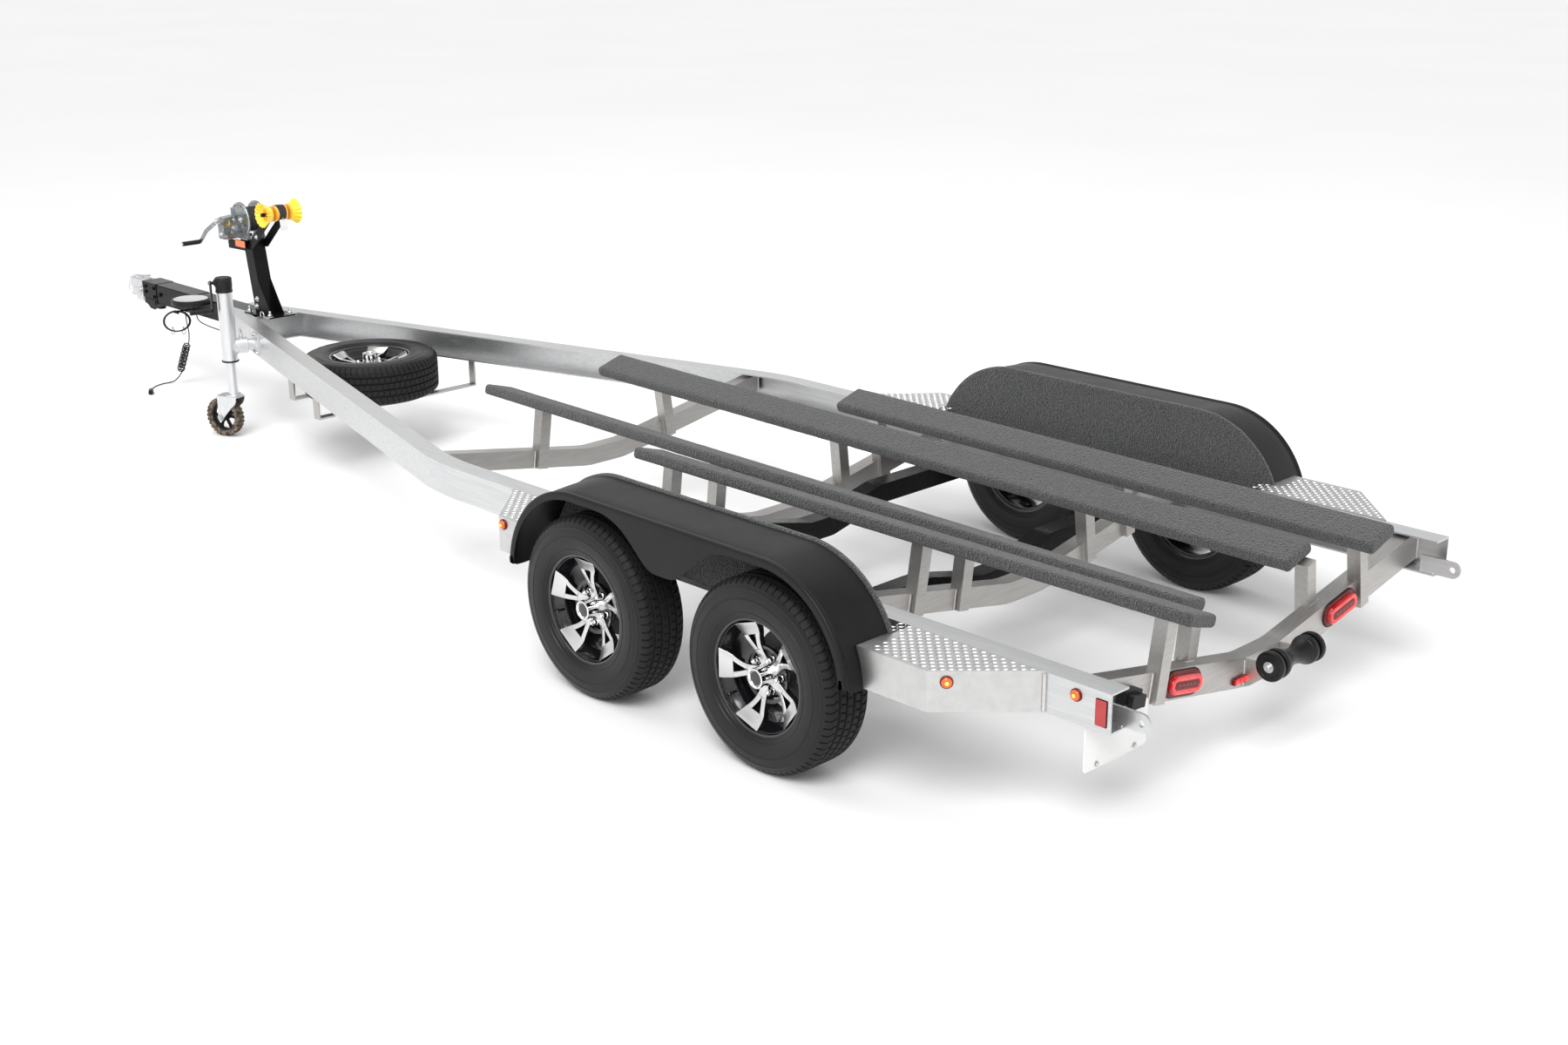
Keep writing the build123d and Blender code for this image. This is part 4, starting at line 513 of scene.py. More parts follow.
# The tread's columns: distance out, depth cut in it, and which cross slots reach it.
TREAD = [(88, 14.6, "s"), (83, 9.2, "s"), (77, 4.4, "s"), (71, 1.6, "s"), (58, 0.8, "s"), (53, 0.6, "-"),
         (50.5, 7.5, "-"), (45.5, 7.5, "-"), (43, 0.4, "-"), (39, 0.3, "r"), (24, 0.1, "r"), (21, 0.1, "-"),
         (18.5, 7.5, "-"), (13.5, 7.5, "-"), (11, 0.0, "-"), (6, 0.0, "c")]
SLOT_STEPS = (0.0, 0.03, 0.2, 0.23)
SLOT_DEPTH = {"s": 5.5, "r": 4.5, "c": 3.5}
SLOT_SHIFT = {"s": 0.0, "r": 0.5, "c": 0.15}
ZIGZAG = 2.4


def tread_column(out, cut, kind, pitch, step):
    """One place of the tread: how far out, its radius and its angle."""
    sweep = 0.3 * max(0.0, min(1.0, (74 - abs(out)) / 14)) if kind == "s" else 0.18 * abs(out) / 40
    if out < 0:
        sweep = -sweep
    part = pitch + SLOT_STEPS[step] + SLOT_SHIFT.get(kind, 0.0) + sweep
    inside = kind != "-" and step in (1, 2)
    depth = cut + (SLOT_DEPTH[kind] if inside else 0.0)
    wave = ZIGZAG * (abs((part * 2) % 2 - 1) - 0.5) if abs(out) < 55 else 0.0
    return out + wave, AXLE_HEIGHT - depth, 2 * pi * part / PITCHES


def tyre(name, place, body, node):
    """A trailer tyre with ribs, cross slots and a ringed sidewall."""
    form = Form("tyre", "tread")
    outer = [(TYRE_MIDDLE + out, radius) for out, radius in SIDEWALL]
    inner = [(TYRE_MIDDLE - out, radius) for out, radius in reversed(SIDEWALL)]
    middle = TREAD + [(-out, cut, kind) for out, cut, kind in reversed(TREAD)]
    rows, tread_rows = [], []
    for pitch in range(PITCHES):
        for step in range(len(SLOT_STEPS)):
            turn = 2 * pi * (pitch + SLOT_STEPS[step]) / PITCHES
            row = [tread_column(out, cut, kind, pitch, step) for out, cut, kind in middle]
            tread_rows.append([(r * cos(a), r * sin(a), TYRE_MIDDLE + out) for out, r, a in row])
            rows.append([(r * cos(turn), r * sin(turn), z) for z, r in outer])
    form.grid([walls + tread[:1] for walls, tread in zip(rows, tread_rows)], 0, place, loop_rows=True)
    form.grid(tread_rows, 1, place, loop_rows=True)
    others = []
    for index, tread in enumerate(tread_rows):
        turn = 2 * pi * (index // 4 + SLOT_STEPS[index % 4]) / PITCHES
        others.append(tread[-1:] + [(r * cos(turn), r * sin(turn), z) for z, r in inner])
    form.grid(others, 0, place, loop_rows=True)
    ends = [[rows[i][0], others[i][-1]] for i in range(len(rows))]
    form.grid(ends, 0, place, loop_rows=True)
    return form.make(name, body, "tyre_rubber", (node,), smooth=30, merge=0.02)


# The wheel's barrel: radius, depth from its outer face.
BARREL = [(190, -9), (194, -7), (195, -3), (194, -0.6), (191, 0), (187.5, -1.2), (185.6, -5), (184.6, -11),
          (182, -24), (172, -40), (168, -58), (167, -98), (176, -122), (178, -150), (183, -172),
          (190, -175.5), (195, -176), (195, -170), (190, -168)]
SPOKES = 5
# Each station along a spoke: radius, half-width, half-width of its window, depth of its face, thickness.
SPOKE = [(30, 17, 0, -46, 16), (44, 17, 0, -47, 18), (58, 16.5, 0, -46, 20), (72, 17, 0, -43, 21),
         (80, 18, 0, -41, 21), (84, 18.8, 0.6, -40, 21), (92, 20.6, 2.8, -38, 21),
         (102, 23.4, 6.0, -35.5, 21), (112, 26.8, 9.6, -33, 21), (122, 30.8, 13.2, -30.6, 21),
         (130, 34.2, 16.0, -28.8, 21), (137, 37.4, 18.4, -27.6, 21), (140, 38.6, 18.8, -27.2, 21),
         (150, 42.0, 0, -23.4, 22), (162, 45.6, 0, -18, 24), (172, 48.4, 0, -12, 28),
         (179, 50.2, 0, -8, 30), (184.5, 51.2, 0, -5.4, 30)]
LUG_CIRCLE = 57.15
SPOKE_BOW = 9.0
WINDOW_START, WINDOW_END = 84, 140


def spoke(form, place, turn):
    """One split spoke: bright face, black flanks, with a window between its arms."""
    def spot(radius, across, depth):
        across += SPOKE_BOW * sin(pi * max(0.0, radius - 40) / 145)
        angle = turn + across / max(radius, 60.0)
        if radius < 60:
            return (radius * cos(turn) - across * sin(turn), radius * sin(turn) + across * cos(turn), depth)
        return (radius * cos(angle), radius * sin(angle), depth)

    def strip(stations, inner, outer):
        """One arm or solid stretch between two offsets at each station."""
        face, back = [], []
        for index, (radius, _, _, depth, thick) in enumerate(stations):
            low, high = inner[index], outer[index]
            face.append([spot(radius, low, depth - 1.2), spot(radius, low + 1.4, depth),
                         spot(radius, high - 1.4, depth), spot(radius, high, depth - 1.2)])
            back.append([spot(radius, high, depth - thick), spot(radius, low, depth - thick)])
        form.grid(face, 0, place)
        form.grid([[row[-1], below[0]] for row, below in zip(face, back)], 1, place)
        form.grid([[below[1], row[0]] for row, below in zip(face, back)], 1, place)
        form.grid(back, 1, place)
        for row, below in ((face[0], back[0]), (face[-1], back[-1])):
            form.add(row + below, [tuple(range(6))], 1, place)

    stem = [s for s in SPOKE if s[0] <= WINDOW_START]
    arms = [s for s in SPOKE if WINDOW_START <= s[0] <= WINDOW_END]
    pad = [s for s in SPOKE if s[0] >= WINDOW_END]
    strip(stem, [-s[1] for s in stem], [s[1] for s in stem])
    strip(pad, [-s[1] for s in pad], [s[1] for s in pad])
    strip(arms, [s[2] for s in arms], [s[1] for s in arms])
    strip(arms, [-s[1] for s in arms], [-s[2] for s in arms])


def hub_parts(form, place, turn):
    """The hub's base, its chrome cap and the five lug nuts."""
    form.lathe([(0, -76), (79, -76), (81, -72), (81, -60), (76, -56), (40, -54), (0, -54)], place, 60, 1)
    form.lathe([(35.5, -56), (35.5, -20), (34.5, -8), (34.2, 3), (33.4, 6.6), (31, 8.4), (28.5, 8.4),
                (26.6, 6.6), (26, 3), (25, 1.8), (0, 1.8)], place, 60, 2)
    form.lathe([(24, 1.8), (23, 3.2), (14, 3.8), (0, 4.0)], place, 40, 1)
    for number in range(SPOKES):
        angle = turn + 2 * pi * (number + 0.5) / SPOKES
        spot = place @ Matrix.Translation((LUG_CIRCLE * cos(angle), LUG_CIRCLE * sin(angle), -56))
        form.lathe([(14, 0), (14, 3), (11.6, 6), (10.8, 6)], spot, 20, 2)
        form.bolt(spot @ Matrix.Translation((0, 0, 4)), 19.0, 2, washer=False, tall=20.0)
        form.lathe([(8, 22), (7.4, 27), (4, 30.5), (0, 31.5)], spot, 16, 2)


def rim(name, place, body, node, turn, brake=True):
    """An alloy wheel: black barrel, five split spokes, cap and nuts, with its hub and brake disc."""
    form = Form("machined", "alloy_black", "chrome", "iron", "zinc")
    form.lathe(BARREL, place, 96, 1)
    form.lathe([(190, -9), (182.5, -12), (178, -26), (163, -42), (160, -58), (160, -98), (170, -124),
                (172, -150), (176, -168), (190, -168)], place, 96, 1)
    for number in range(SPOKES):
        spoke(form, place, turn + 2 * pi * number / SPOKES)
    hub_parts(form, place, turn)
    form.lathe([(84, -44.5), (96, -41), (96, -50), (84, -56)], place, 60, 1)
    valve = place @ Matrix.Translation((168 * cos(turn + 0.62), 168 * sin(turn + 0.62), -34))
    form.lathe([(5.5, -12), (4.5, 0), (3.6, 14), (4.4, 15), (4.4, 24), (0, 24)], valve, 12, 1)
    if brake:
        form.lathe([(0, -60), (60, -60), (62, -66), (62, -128), (70, -134), (70, -150), (44, -156),
                    (44, -196), (40, -202), (26, -202)], place, 48, 4)
        form.lathe([(62, -134), (124, -134), (125, -135), (125, -140), (124, -141), (66, -141)], place, 72, 3)
        form.lathe([(66, -147), (124, -147), (125, -148), (125, -153), (124, -154), (62, -154)], place, 72, 3)
        for vane in range(30):
            blade = place @ Matrix.Rotation(2 * pi * vane / 30, 4, "Z")
            form.block((72, 122), (-2, 2), (-147, -141), 3, blade)
    return form.make(name, body, "alloy_wheel", (node,), smooth=40)


# Each row: name, axle, side, turn of the spokes in degrees.
WHEELS = [("front_left", FRONT_AXLE_X, 1, -18.0), ("front_right", FRONT_AXLE_X, -1, 20.0),
          ("rear_left", REAR_AXLE_X, 1, 0.0), ("rear_right", REAR_AXLE_X, -1, 40.0)]
for stem, wheel_x, side, turn in WHEELS:
    hub = flank(wheel_x, RIM_FACE, AXLE_HEIGHT, side)
    tyre(f"tyre_piece_{stem}", hub, f"wheel_{stem}", f"tyre_{stem}")
    rim(f"rim_piece_{stem}", hub, f"wheel_{stem}", f"rim_{stem}", radians(turn))
SPARE_X, SPARE_FACE_Z = 5172.0, 461.0
spare = axes((SPARE_X, 0, SPARE_FACE_Z), (0, 0, 1), (1, 0, 0))
tyre("spare_tyre_piece", spare, "frame", "spare_tyre")
rim("spare_rim_piece", spare, "frame", "spare_rim", radians(25), brake=False)


# ---------------- carpet: bunks and fender boards
BUNK_WIDTH, BUNK_THICK, BUNK_LEAN = 150.0, 45.0, 16.5
# Each row: node, rear X, front X, middle of the top face (y, z) at the rear, then at the front.
BUNKS = [("bunks_inner", 183.0, 3712.0, (298.5, 589.0), (304.0, 627.5)),
         ("bunks_outer", 5.0, 2468.0, (510.5, 640.5), (539.5, 653.0))]
CARPET_EDGE = 15.0
CARPET_STEP = 14.0


def rounded(width, height, radius, per_corner=4, per_side=6):
    """Points round a rectangle with round corners, centred on the origin."""
    points = []
    half_w, half_h = width / 2 - radius, height / 2 - radius
    corners = [(half_w, half_h, 0), (-half_w, half_h, 90), (-half_w, -half_h, 180), (half_w, -half_h, 270)]
    for index, (x, y, start) in enumerate(corners):
        for step in range(per_corner + 1):
            angle = radians(start + 90 * step / per_corner)
            points.append((x + radius * cos(angle), y + radius * sin(angle)))
        following = corners[(index + 1) % 4]
        angle = radians(start + 90)
        begin = Vector((x + radius * cos(angle), y + radius * sin(angle)))
        end = Vector((following[0] + radius * cos(angle), following[1] + radius * sin(angle)))
        count = per_side if index % 2 == 0 else max(1, per_side // 3)
        points += [tuple(begin.lerp(end, step / count)) for step in range(1, count)]
    return points


def ruffled(point, reach, scale=0.02):
    """How far a carpet's surface stands in or out at a place."""
    place = Vector(point)
    return reach * (noise.noise(place * scale) + 0.7 * noise.noise(place * scale * 5 + Vector((9, 0, 0))))


def bunk(name, side, rear_x, front_x, rear, front):
    """A carpet-wrapped board with soft edges."""
    form = Form("carpet")
    across = Vector((0, side * cos(radians(BUNK_LEAN)), sin(radians(BUNK_LEAN))))
    up = Vector((0, -side * sin(radians(BUNK_LEAN)), cos(radians(BUNK_LEAN))))
    start, end = Vector((rear_x, side * rear[0], rear[1])), Vector((front_x, side * front[0], front[1]))
    length = (end - start).length
    steps = int(length / CARPET_STEP)
    rows = []
    ends = [0.0, 0.8, 3.0, 7.0, 12.0]
    between = [12.0 + (length - 24.0) * k / steps for k in range(1, steps)]
    stations = ends + between + [length - e for e in ends[::-1]]
    for station in stations:
        closeness = min(station, length - station)
        pinch = 12.0 - sqrt(max(0.0, 144.0 - (12.0 - min(closeness, 12.0)) ** 2))
        ring = rounded(BUNK_WIDTH - 1.6 - 2 * pinch, BUNK_THICK - 1.6 - 2 * pinch, CARPET_EDGE - pinch * 0.7)
        middle = start.lerp(end, station / length) - up * (BUNK_THICK / 2)
        row = []
        for x, y in ring:
            point = middle + across * x + up * y
            out = (across * x + up * y).normalized()
            row.append(tuple(point + out * min(0.7, ruffled(point, 1.1))))
        rows.append(row)
    form.grid(rows, 0, None, loop_columns=True)
    form.add(rows[0], [tuple(range(len(rows[0])))], 0)
    form.add(rows[-1], [tuple(range(len(rows[0])))[::-1]], 0)
    return form


for node, rear_x, front_x, rear, front in BUNKS:
    for side, word in SIDES:
        board = bunk(node, side, rear_x, front_x, rear, front)
        board.make(f"{node}_{word}", "frame", "carpet", (node,), smooth=60)

FENDER_X = (REAR_AXLE_X + FRONT_AXLE_X) / 2
FENDER_TOP, FENDER_FLAT_HALF, FENDER_END_RADIUS = 744.0, 460.0, 370.0
FENDER_INNER, FENDER_OUTER, FENDER_TIP_Z = 1064.0, 1276.0, 388.0
ARCH_CENTRE_Z = FENDER_TOP - FENDER_END_RADIUS
BOARD_INNER, BOARD_BOTTOM, BOARD_PROUD = 1046.0, 470.0, 10.0


def arch_stations(bottom, turns=26, flats=34):
    """Places along the fender's arch, rear to front: point (x, z) and outward direction."""
    half, radius = FENDER_FLAT_HALF, FENDER_END_RADIUS
    dip = asin(max(-1.0, min(1.0, (bottom - ARCH_CENTRE_Z) / radius)))
    stations = []
    for step in range(turns + 1):
        angle = pi - dip - (pi / 2 - dip) * step / turns
        stations.append((FENDER_X - half + radius * cos(angle), ARCH_CENTRE_Z + radius * sin(angle),
                         cos(angle), sin(angle)))
    for step in range(1, flats):
        stations.append((FENDER_X - half + 2 * half * step / flats, FENDER_TOP, 0.0, 1.0))
    for x, z, nx, nz in stations[:turns + 1][::-1]:
        stations.append((2 * FENDER_X - x, z, -nx, nz))
    return stations


def fender_board(side):
    """The carpeted board along the fender's inner edge."""
    form = Form("carpet")
    thick, edge = FENDER_INNER - BOARD_INNER - 0.6, 7.0
    middle = side * (FENDER_INNER + BOARD_INNER) / 2
    rim_line = []
    for x, z, nx, nz in arch_stations(BOARD_BOTTOM):
        rim_line.append((x + nx * BOARD_PROUD, z + nz * BOARD_PROUD, nx, nz))
    rows = []
    for x, z, nx, nz in rim_line:
        row = []
        for out, y in ((-90, thick / 2), (-40, thick / 2), (-20, thick / 2), (-edge, thick / 2),
                       (-2.4, thick / 2 - 2), (-0.8, thick / 2 - 5), (-0.8, 5 - thick / 2),
                       (-2.4, 2 - thick / 2), (-edge, -thick / 2), (-20, -thick / 2), (-40, -thick / 2),
                       (-90, -thick / 2)):
            point = Vector((x + nx * out, middle + y, max(BOARD_BOTTOM, z + nz * out)))
            row.append(tuple(point + Vector((nx, 0, nz)) * min(0.6, ruffled(point, 1.0))))
        rows.append(row)
    form.grid(rows, 0)
    low = [row[0] for row in rows]
    other = [row[-1] for row in rows]
    form.add(low, [tuple(range(len(low)))], 0)
    form.add(other, [tuple(range(len(other)))[::-1]], 0)
    form.grid([rows[0], rows[-1]], 0)
    return form


for side, word in SIDES:
    fender_board(side).make(f"fender_board_{word}", "frame", "carpet", ("fender_boards",), smooth=50)


# ---------------- fenders
# The fender's section: distance out, drop below the arch.
CROWN = [(1064, 0), (1080, 0.4), (1120, 1.8), (1170, 4.4), (1215, 7.6), (1238, 10.0), (1246, 12.2),
         (1250, 13.2), (1254, 12.6), (1258, 10.4), (1262, 8.6), (1266, 8.0), (1270, 8.8), (1273.6, 11.4),
         (1275.4, 15), (1276, 20)]
UNDER = [(1271.5, 20), (1270, 16), (1262, 14), (1254, 17.6), (1246, 17.6), (1215, 12.6), (1170, 9.4),
         (1064, 5)]
LIP_DROP, FENDER_CORNER = 36.0, 46.0
SKIRT_LINE = [(0, 557), (22, 557), (44, 558), (62, 563), (82, 574), (104, 592), (128, 614), (152, 636),
              (176, 656), (202, 674), (232, 689), (264, 699), (300, 706), (340, 708)]


def skirt_drop(x):
    """How far the fender's side comes down below its top, at a place along it."""
    reach = abs(x - FENDER_X)
    for (a, low), (b, high) in zip(SKIRT_LINE, SKIRT_LINE[1:]):
        if reach <= b:
            return FENDER_TOP - (low + (high - low) * (reach - a) / (b - a))
    return LIP_DROP


def fender(side):
    """A moulded fender: crowned top, rolled edge, side lip and the skirt between the wheels."""
    form = Form("fender")
    rows = []
    stations = arch_stations(FENDER_TIP_Z, 30, 56)
    for index, (x, z, nx, nz) in enumerate(stations):
        drop = skirt_drop(x) if nz > 0.999 else LIP_DROP
        ending = min(index, len(stations) - 1 - index)
        section = CROWN + [(1276, 20 + (drop - 20) * k / 6) for k in range(1, 7)]
        section += [(1271.5, 20 + (drop - 20) * k / 6) for k in range(6, 0, -1)] + UNDER
        row = []
        for y, down in section:
            px, pz = x - nx * down, z - nz * down
            if ending == 0 and y > FENDER_OUTER - FENDER_CORNER:
                inside = (y - (FENDER_OUTER - FENDER_CORNER)) / FENDER_CORNER
                pz += FENDER_CORNER * (1 - sqrt(max(0.0, 1 - inside * inside)))
            row.append((px, side * y, pz))
        rows.append(row)
    form.grid(rows, 0, None, loop_columns=True)
    for row in (rows[0], rows[-1]):
        count = len(row)
        form.add(row, [(i, i + 1, count - 2 - i, count - 1 - i) for i in range(count // 2 - 1)], 0)
    return form


for side, word in SIDES:
    fender(side).make(f"fender_{word}", "frame", "fender_black", ("fenders",), smooth=32)


# ---------------- step treads
FRAME_HALF, STEP_OUTER, RAIL_TOP = 965.0, 1205.0, 523.0
TREAD_PLATE = 3.0
# Half-length, half-width and height of a raised lozenge, and how far apart they stand.
LOZENGE, LOZENGE_PITCH = (10.5, 2.8, 1.7), 18.5
EDGE_MARGIN, BOARD_MARGIN = 9.0, 12.0
# Each row: name, end that meets the frame, outer corner, end under the fender.
STEPS = [("rear", 240.0, 480.0, 800.0), ("front", 2745.0, 2524.0, 2320.0)]


def inside_outline(point, outline, margin):
    """Whether a place lies in an outline, at least a margin from its edges."""
    inside = False
    for (ax, ay), (bx, by) in zip(outline, outline[1:] + outline[:1]):
        if (ay > point[1]) != (by > point[1]) and point[0] < (bx - ax) * (point[1] - ay) / (by - ay) + ax:
            inside = not inside
        edge = Vector((bx - ax, by - ay))
        off = Vector((point[0] - ax, point[1] - ay))
        along = max(0.0, min(1.0, off.dot(edge) / edge.length_squared))
        if (off - edge * along).length < margin:
            return False
    return inside


def tread_plate(side, frame_x, corner_x, fender_x):
    """The raised lozenges on a step's top, laid in pairs that point crosswise."""
    form = Form("lozenge")
    inner = FRAME_HALF + 1
    outline = [(frame_x, inner), (corner_x, STEP_OUTER), (fender_x, STEP_OUTER), (fender_x, inner)]
    low, high = min(p[0] for p in outline), max(p[0] for p in outline)
    fender_reach = FENDER_FLAT_HALF + FENDER_END_RADIUS + BOARD_MARGIN
    long, wide, tall = LOZENGE
    ring = [(long, 0), (long * 0.55, wide * 0.85), (0, wide), (-long * 0.55, wide * 0.85), (-long, 0),
            (-long * 0.55, -wide * 0.85), (0, -wide), (long * 0.55, -wide * 0.85)]
    points = [(a, b, -0.4) for a, b in ring] + [(a * 0.72, b * 0.45, tall) for a, b in ring]
    faces = [(k, (k + 1) % 8, 8 + (k + 1) % 8, 8 + k) for k in range(8)] + [tuple(range(8, 16))]
    for i in range(int((high - low) / LOZENGE_PITCH) + 1):
        for j in range(int((STEP_OUTER - FRAME_HALF) / LOZENGE_PITCH) + 1):
            x, y = low + (i + 0.5) * LOZENGE_PITCH, FRAME_HALF + 4 + (j + 0.5) * LOZENGE_PITCH
            at_board = abs(x - FENDER_X) < fender_reach and y > BOARD_INNER - BOARD_MARGIN
            if at_board or not inside_outline((x, y), outline, EDGE_MARGIN):
                continue
            turn = radians(45 if (i + j) % 2 else -45)
            spot = Matrix.Translation((x, side * y, RAIL_TOP + TREAD_PLATE)) @ Matrix.Rotation(turn, 4, "Z")
            form.add(points, faces, 0, spot)
    return form


for name, *ends in STEPS:
    for side, word in SIDES:
        tread_plate(side, *ends).make(f"tread_lozenges_{name}_{word}", "frame", "tread_plate", smooth=50)


# ---------------- welds
def weld(form, start, end, radius=5.0, finish=0, pitch=5.5):
    """A bead of overlapping ripples from one point to another."""
    a, b = Vector(start), Vector(end)
    length = (b - a).length
    count = max(2, int(length / pitch))
    route, radii = [], []
    for step in range(count):
        for part, swell in ((0.0, 0.82), (0.45, 1.0), (0.8, 0.97)):
            route.append(a.lerp(b, (step + part) / count))
            radii.append(radius * swell * (1 + 0.08 * noise.noise(route[-1] * 0.3)))
    form.tube(route, radii, 8, finish)


def upright(x, y, z):
    """A place seen from the left: its X forward, Y up and Z towards the right."""
    return axes((x, y, z), (0, -1, 0), (1, 0, 0))


# ---------------- lamps, reflectors and plate
CROSS_MIDDLE_Z, CROSS_RISE, CROSS_FLAT = 300.0, 0.1956, 95.0
CROSS_REAR_X = 112.0
LAMP_Y, LAMP_LONG, LAMP_TALL = 451.0, 198.0, 90.0


def slot_ring(long, tall, height, per_end=16, per_side=6):
    """Points round an oval with straight sides, at a height."""
    radius, half = tall / 2, (long - tall) / 2
    points = []
    for sign, start in ((1, -90), (-1, 90)):
        for step in range(per_end + 1):
            angle = radians(start + 180 * step / per_end)
            points.append((sign * half + radius * cos(angle), radius * sin(angle), height))
        for step in range(1, per_side):
            points.append((sign * half - sign * 2 * half * step / per_side, sign * radius, height))
    return points


def oval(form, place, levels, finish, closed=True):
    """An oval built up from (shrink, height) levels, as a rule closed at its last one."""
    rings = [slot_ring(LAMP_LONG - 2 * shrink, LAMP_TALL - 2 * shrink, height) for shrink, height in levels]
    form.grid(rings, finish, place, loop_columns=True)
    if closed:
        form.add(rings[-1], [tuple(range(len(rings[-1])))], finish, place)


def tail_lamp(side):
    """An oval lamp: a dark red flange, a raised lens and the lit ring round its edge."""
    form = Form("satin", "red_lens", "red_glow", "red_dark")
    z = CROSS_MIDDLE_Z + CROSS_RISE * (LAMP_Y - CROSS_FLAT) + 2
    place = axes((CROSS_REAR_X, side * LAMP_Y, z), (-1, 0, 0), (0, 1, side * CROSS_RISE))
    oval(form, place, [(0.2, 0), (0.2, 3), (2.0, 5)], 0)
    oval(form, place, [(2.4, 4.4), (3.0, 7), (6.0, 8.4), (12, 8.8)], 3)
    oval(form, place, [(15, 8), (15.6, 19), (17.0, 21.6), (20.0, 22.6), (31.4, 22.4), (32.4, 20.8)], 1)
    oval(form, place, [(32.6, 19.4), (33.0, 21.0), (36.0, 21.8), (42.0, 22.0)], 3)
    oval(form, place, [(18.4, 22.0), (20.0, 23.6), (27.2, 23.6), (28.8, 22.0)], 2, closed=False)
    for column in range(-2, 3):
        spot = place @ Matrix.Translation((column * 20.0, 0, 21.4))
        form.lathe([(3.4, 0), (3.0, 1.0), (0, 1.4)], spot, 16, 1)
    return form


for side, word in SIDES:
    tail_lamp(side).make(f"tail_lamp_{word}", "frame", "red_lens", ("tail_lamps",), smooth=50)

bar = Form("red_dark", "red_lens", "red_glow")
bar_place = axes((CROSS_REAR_X, 131, 286), (-1, 0, 0), (0, 1, 0))
bar.prism(rounded(76, 24, 7), 0, 8, bar_place, 0)
bar.prism(rounded(72, 20, 6), 8, 11.5, bar_place, 1)
for column in (-1, 0, 1):
    spot = bar_place @ Matrix.Translation((column * 23.0, 0, 11.5))
    bar.lathe([(8.6, -1), (8.6, 1.8), (7.4, 3.2), (4.5, 4.1), (0, 4.4)], spot, 24, 2)
bar.make("marker_bar_piece", "frame", "red_lens", ("marker_bar",), bevel=0.8)

# Each row: place of a marker's base on the left, outward direction.
ROUND_MARKERS = [((439.5, 1164.5, 491.0), (-0.7071, 0.7071)), ((123.0, FRAME_HALF, 486.0), (0, 1)),
                 ((2497.0, STEP_OUTER, 500.0), (0, 1))]
lamps = Form("red_dark", "amber", "amber_glow")
for side in (1, -1):
    for (x, y, z), (out_x, out_y) in ROUND_MARKERS:
        place = axes((x, side * y, z), (out_x, side * out_y, 0), (0, 0, 1))
        lamps.lathe([(20, -1), (20, 3.4), (18.4, 5.4), (16.4, 5.8), (16.4, 3.4)], place, 40, 0)
        lamps.lathe([(16.4, 4), (16.4, 7.6), (14.8, 10.4), (11, 12.6), (6, 13.6), (0, 13.9)], place, 40, 1)
        lamps.lathe([(6.4, 13.2), (5.4, 14.4), (0, 14.8)], place, 20, 2)
lamps.make("round_markers", "frame", smooth=50)

reflectors = Form("satin", "red_lens")
for side in (1, -1):
    place = flank(33, FRAME_HALF, 457, side)
    reflectors.prism(rounded(42, 84, 4), -0.5, 2, place, 0)
    reflectors.prism(rounded(38, 80, 3), 2, 5, place, 1)
reflectors.make("rail_reflectors", "frame", bevel=0.8)

dress("number_plate", "plate_white")
PLATE_X, PLATE_Y, PLATE_Z = 93.0, 803.0, 318.0
PLATE_LAMP_X = 98.0
plate = Form("plate_white", "zinc", "satin", "lamp_white")
plate_place = axes((PLATE_X, PLATE_Y, PLATE_Z), (-1, 0, 0), (0, 1, 0))
outer, inner = rounded(299, 146, 11), rounded(291, 138, 8)
plate.grid([[(x, y, -0.2) for x, y in rounded(301, 148, 12)], [(x, y, 0.9) for x, y in outer],
            [(x, y, 0.9) for x, y in inner], [(x, y, -0.2) for x, y in rounded(288, 135, 7)]],
           0, plate_place, loop_columns=True)
for across in (-92.5, 92.5):
    plate.bolt(plate_place @ Matrix.Translation((across, 62, 0)), 11.0, 1)
plate_lamp = axes((PLATE_LAMP_X, 745, 416), (-1, 0, 0), (0, 1, CROSS_RISE))
plate.prism(rounded(84, 60, 6), -16, 18, plate_lamp, 2)
plate.prism(rounded(66, 40, 5), 18, 40, plate_lamp, 2)
plate.prism(rounded(50, 22, 5), -1, 3, axes((PLATE_LAMP_X - 24, 745, 390), (0, 0, -1), (0, 1, 0)), 3)
for across in (-36, 36):
    plate.bolt(plate_lamp @ Matrix.Translation((across, 20, 18)), 9.0, 1)
plate.make("plate_trim", "frame", bevel=0.7)


# ---------------- keel roller and rear welds
KEEL_X, KEEL_Z = 10.0, 356.0
KEEL_ARM = [(112, 348), (112, 252), (90, 262), (-4, 340), (-10, 352), (-6, 368), (6, 375), (20, 374),
            (60, 352)]
keel = Form("cross", "zinc", "weld")
for side in (1, -1):
    y = side * 100
    keel.prism(KEEL_ARM, -(y + 4), -(y - 4), upright(0, 0, 0), 0)
    weld(keel, (111, y + side * 5, 256), (111, y + side * 5, 346), 3.6, 2)
    keel.bolt(axes((KEEL_X, side * 130, KEEL_Z), (0, side, 0), (0, 0, 1)), 19.0, 1)
keel.lathe([(0, -131), (7.6, -131), (7.6, 131), (0, 131)], axes((KEEL_X, 0, KEEL_Z), (0, 1, 0)), 24, 1)
keel.make("keel_bracket_piece", "frame", "zinc_steel", ("keel_bracket",), bevel=0.8)
roller = Form("gloss_rubber")
keel_line = [(9, -93), (30, -93), (44, -92), (48, -89), (49, -84), (48, -74), (45, -66), (43, -64), (43, -61),
             (40, -56), (34, -38), (29, -18), (27.6, 0)]
keel_line += [(r, -y) for r, y in keel_line[-2::-1]]
roller.lathe(keel_line, axes((KEEL_X, 0, KEEL_Z), (0, 1, 0)), 72, 0, closed=True)
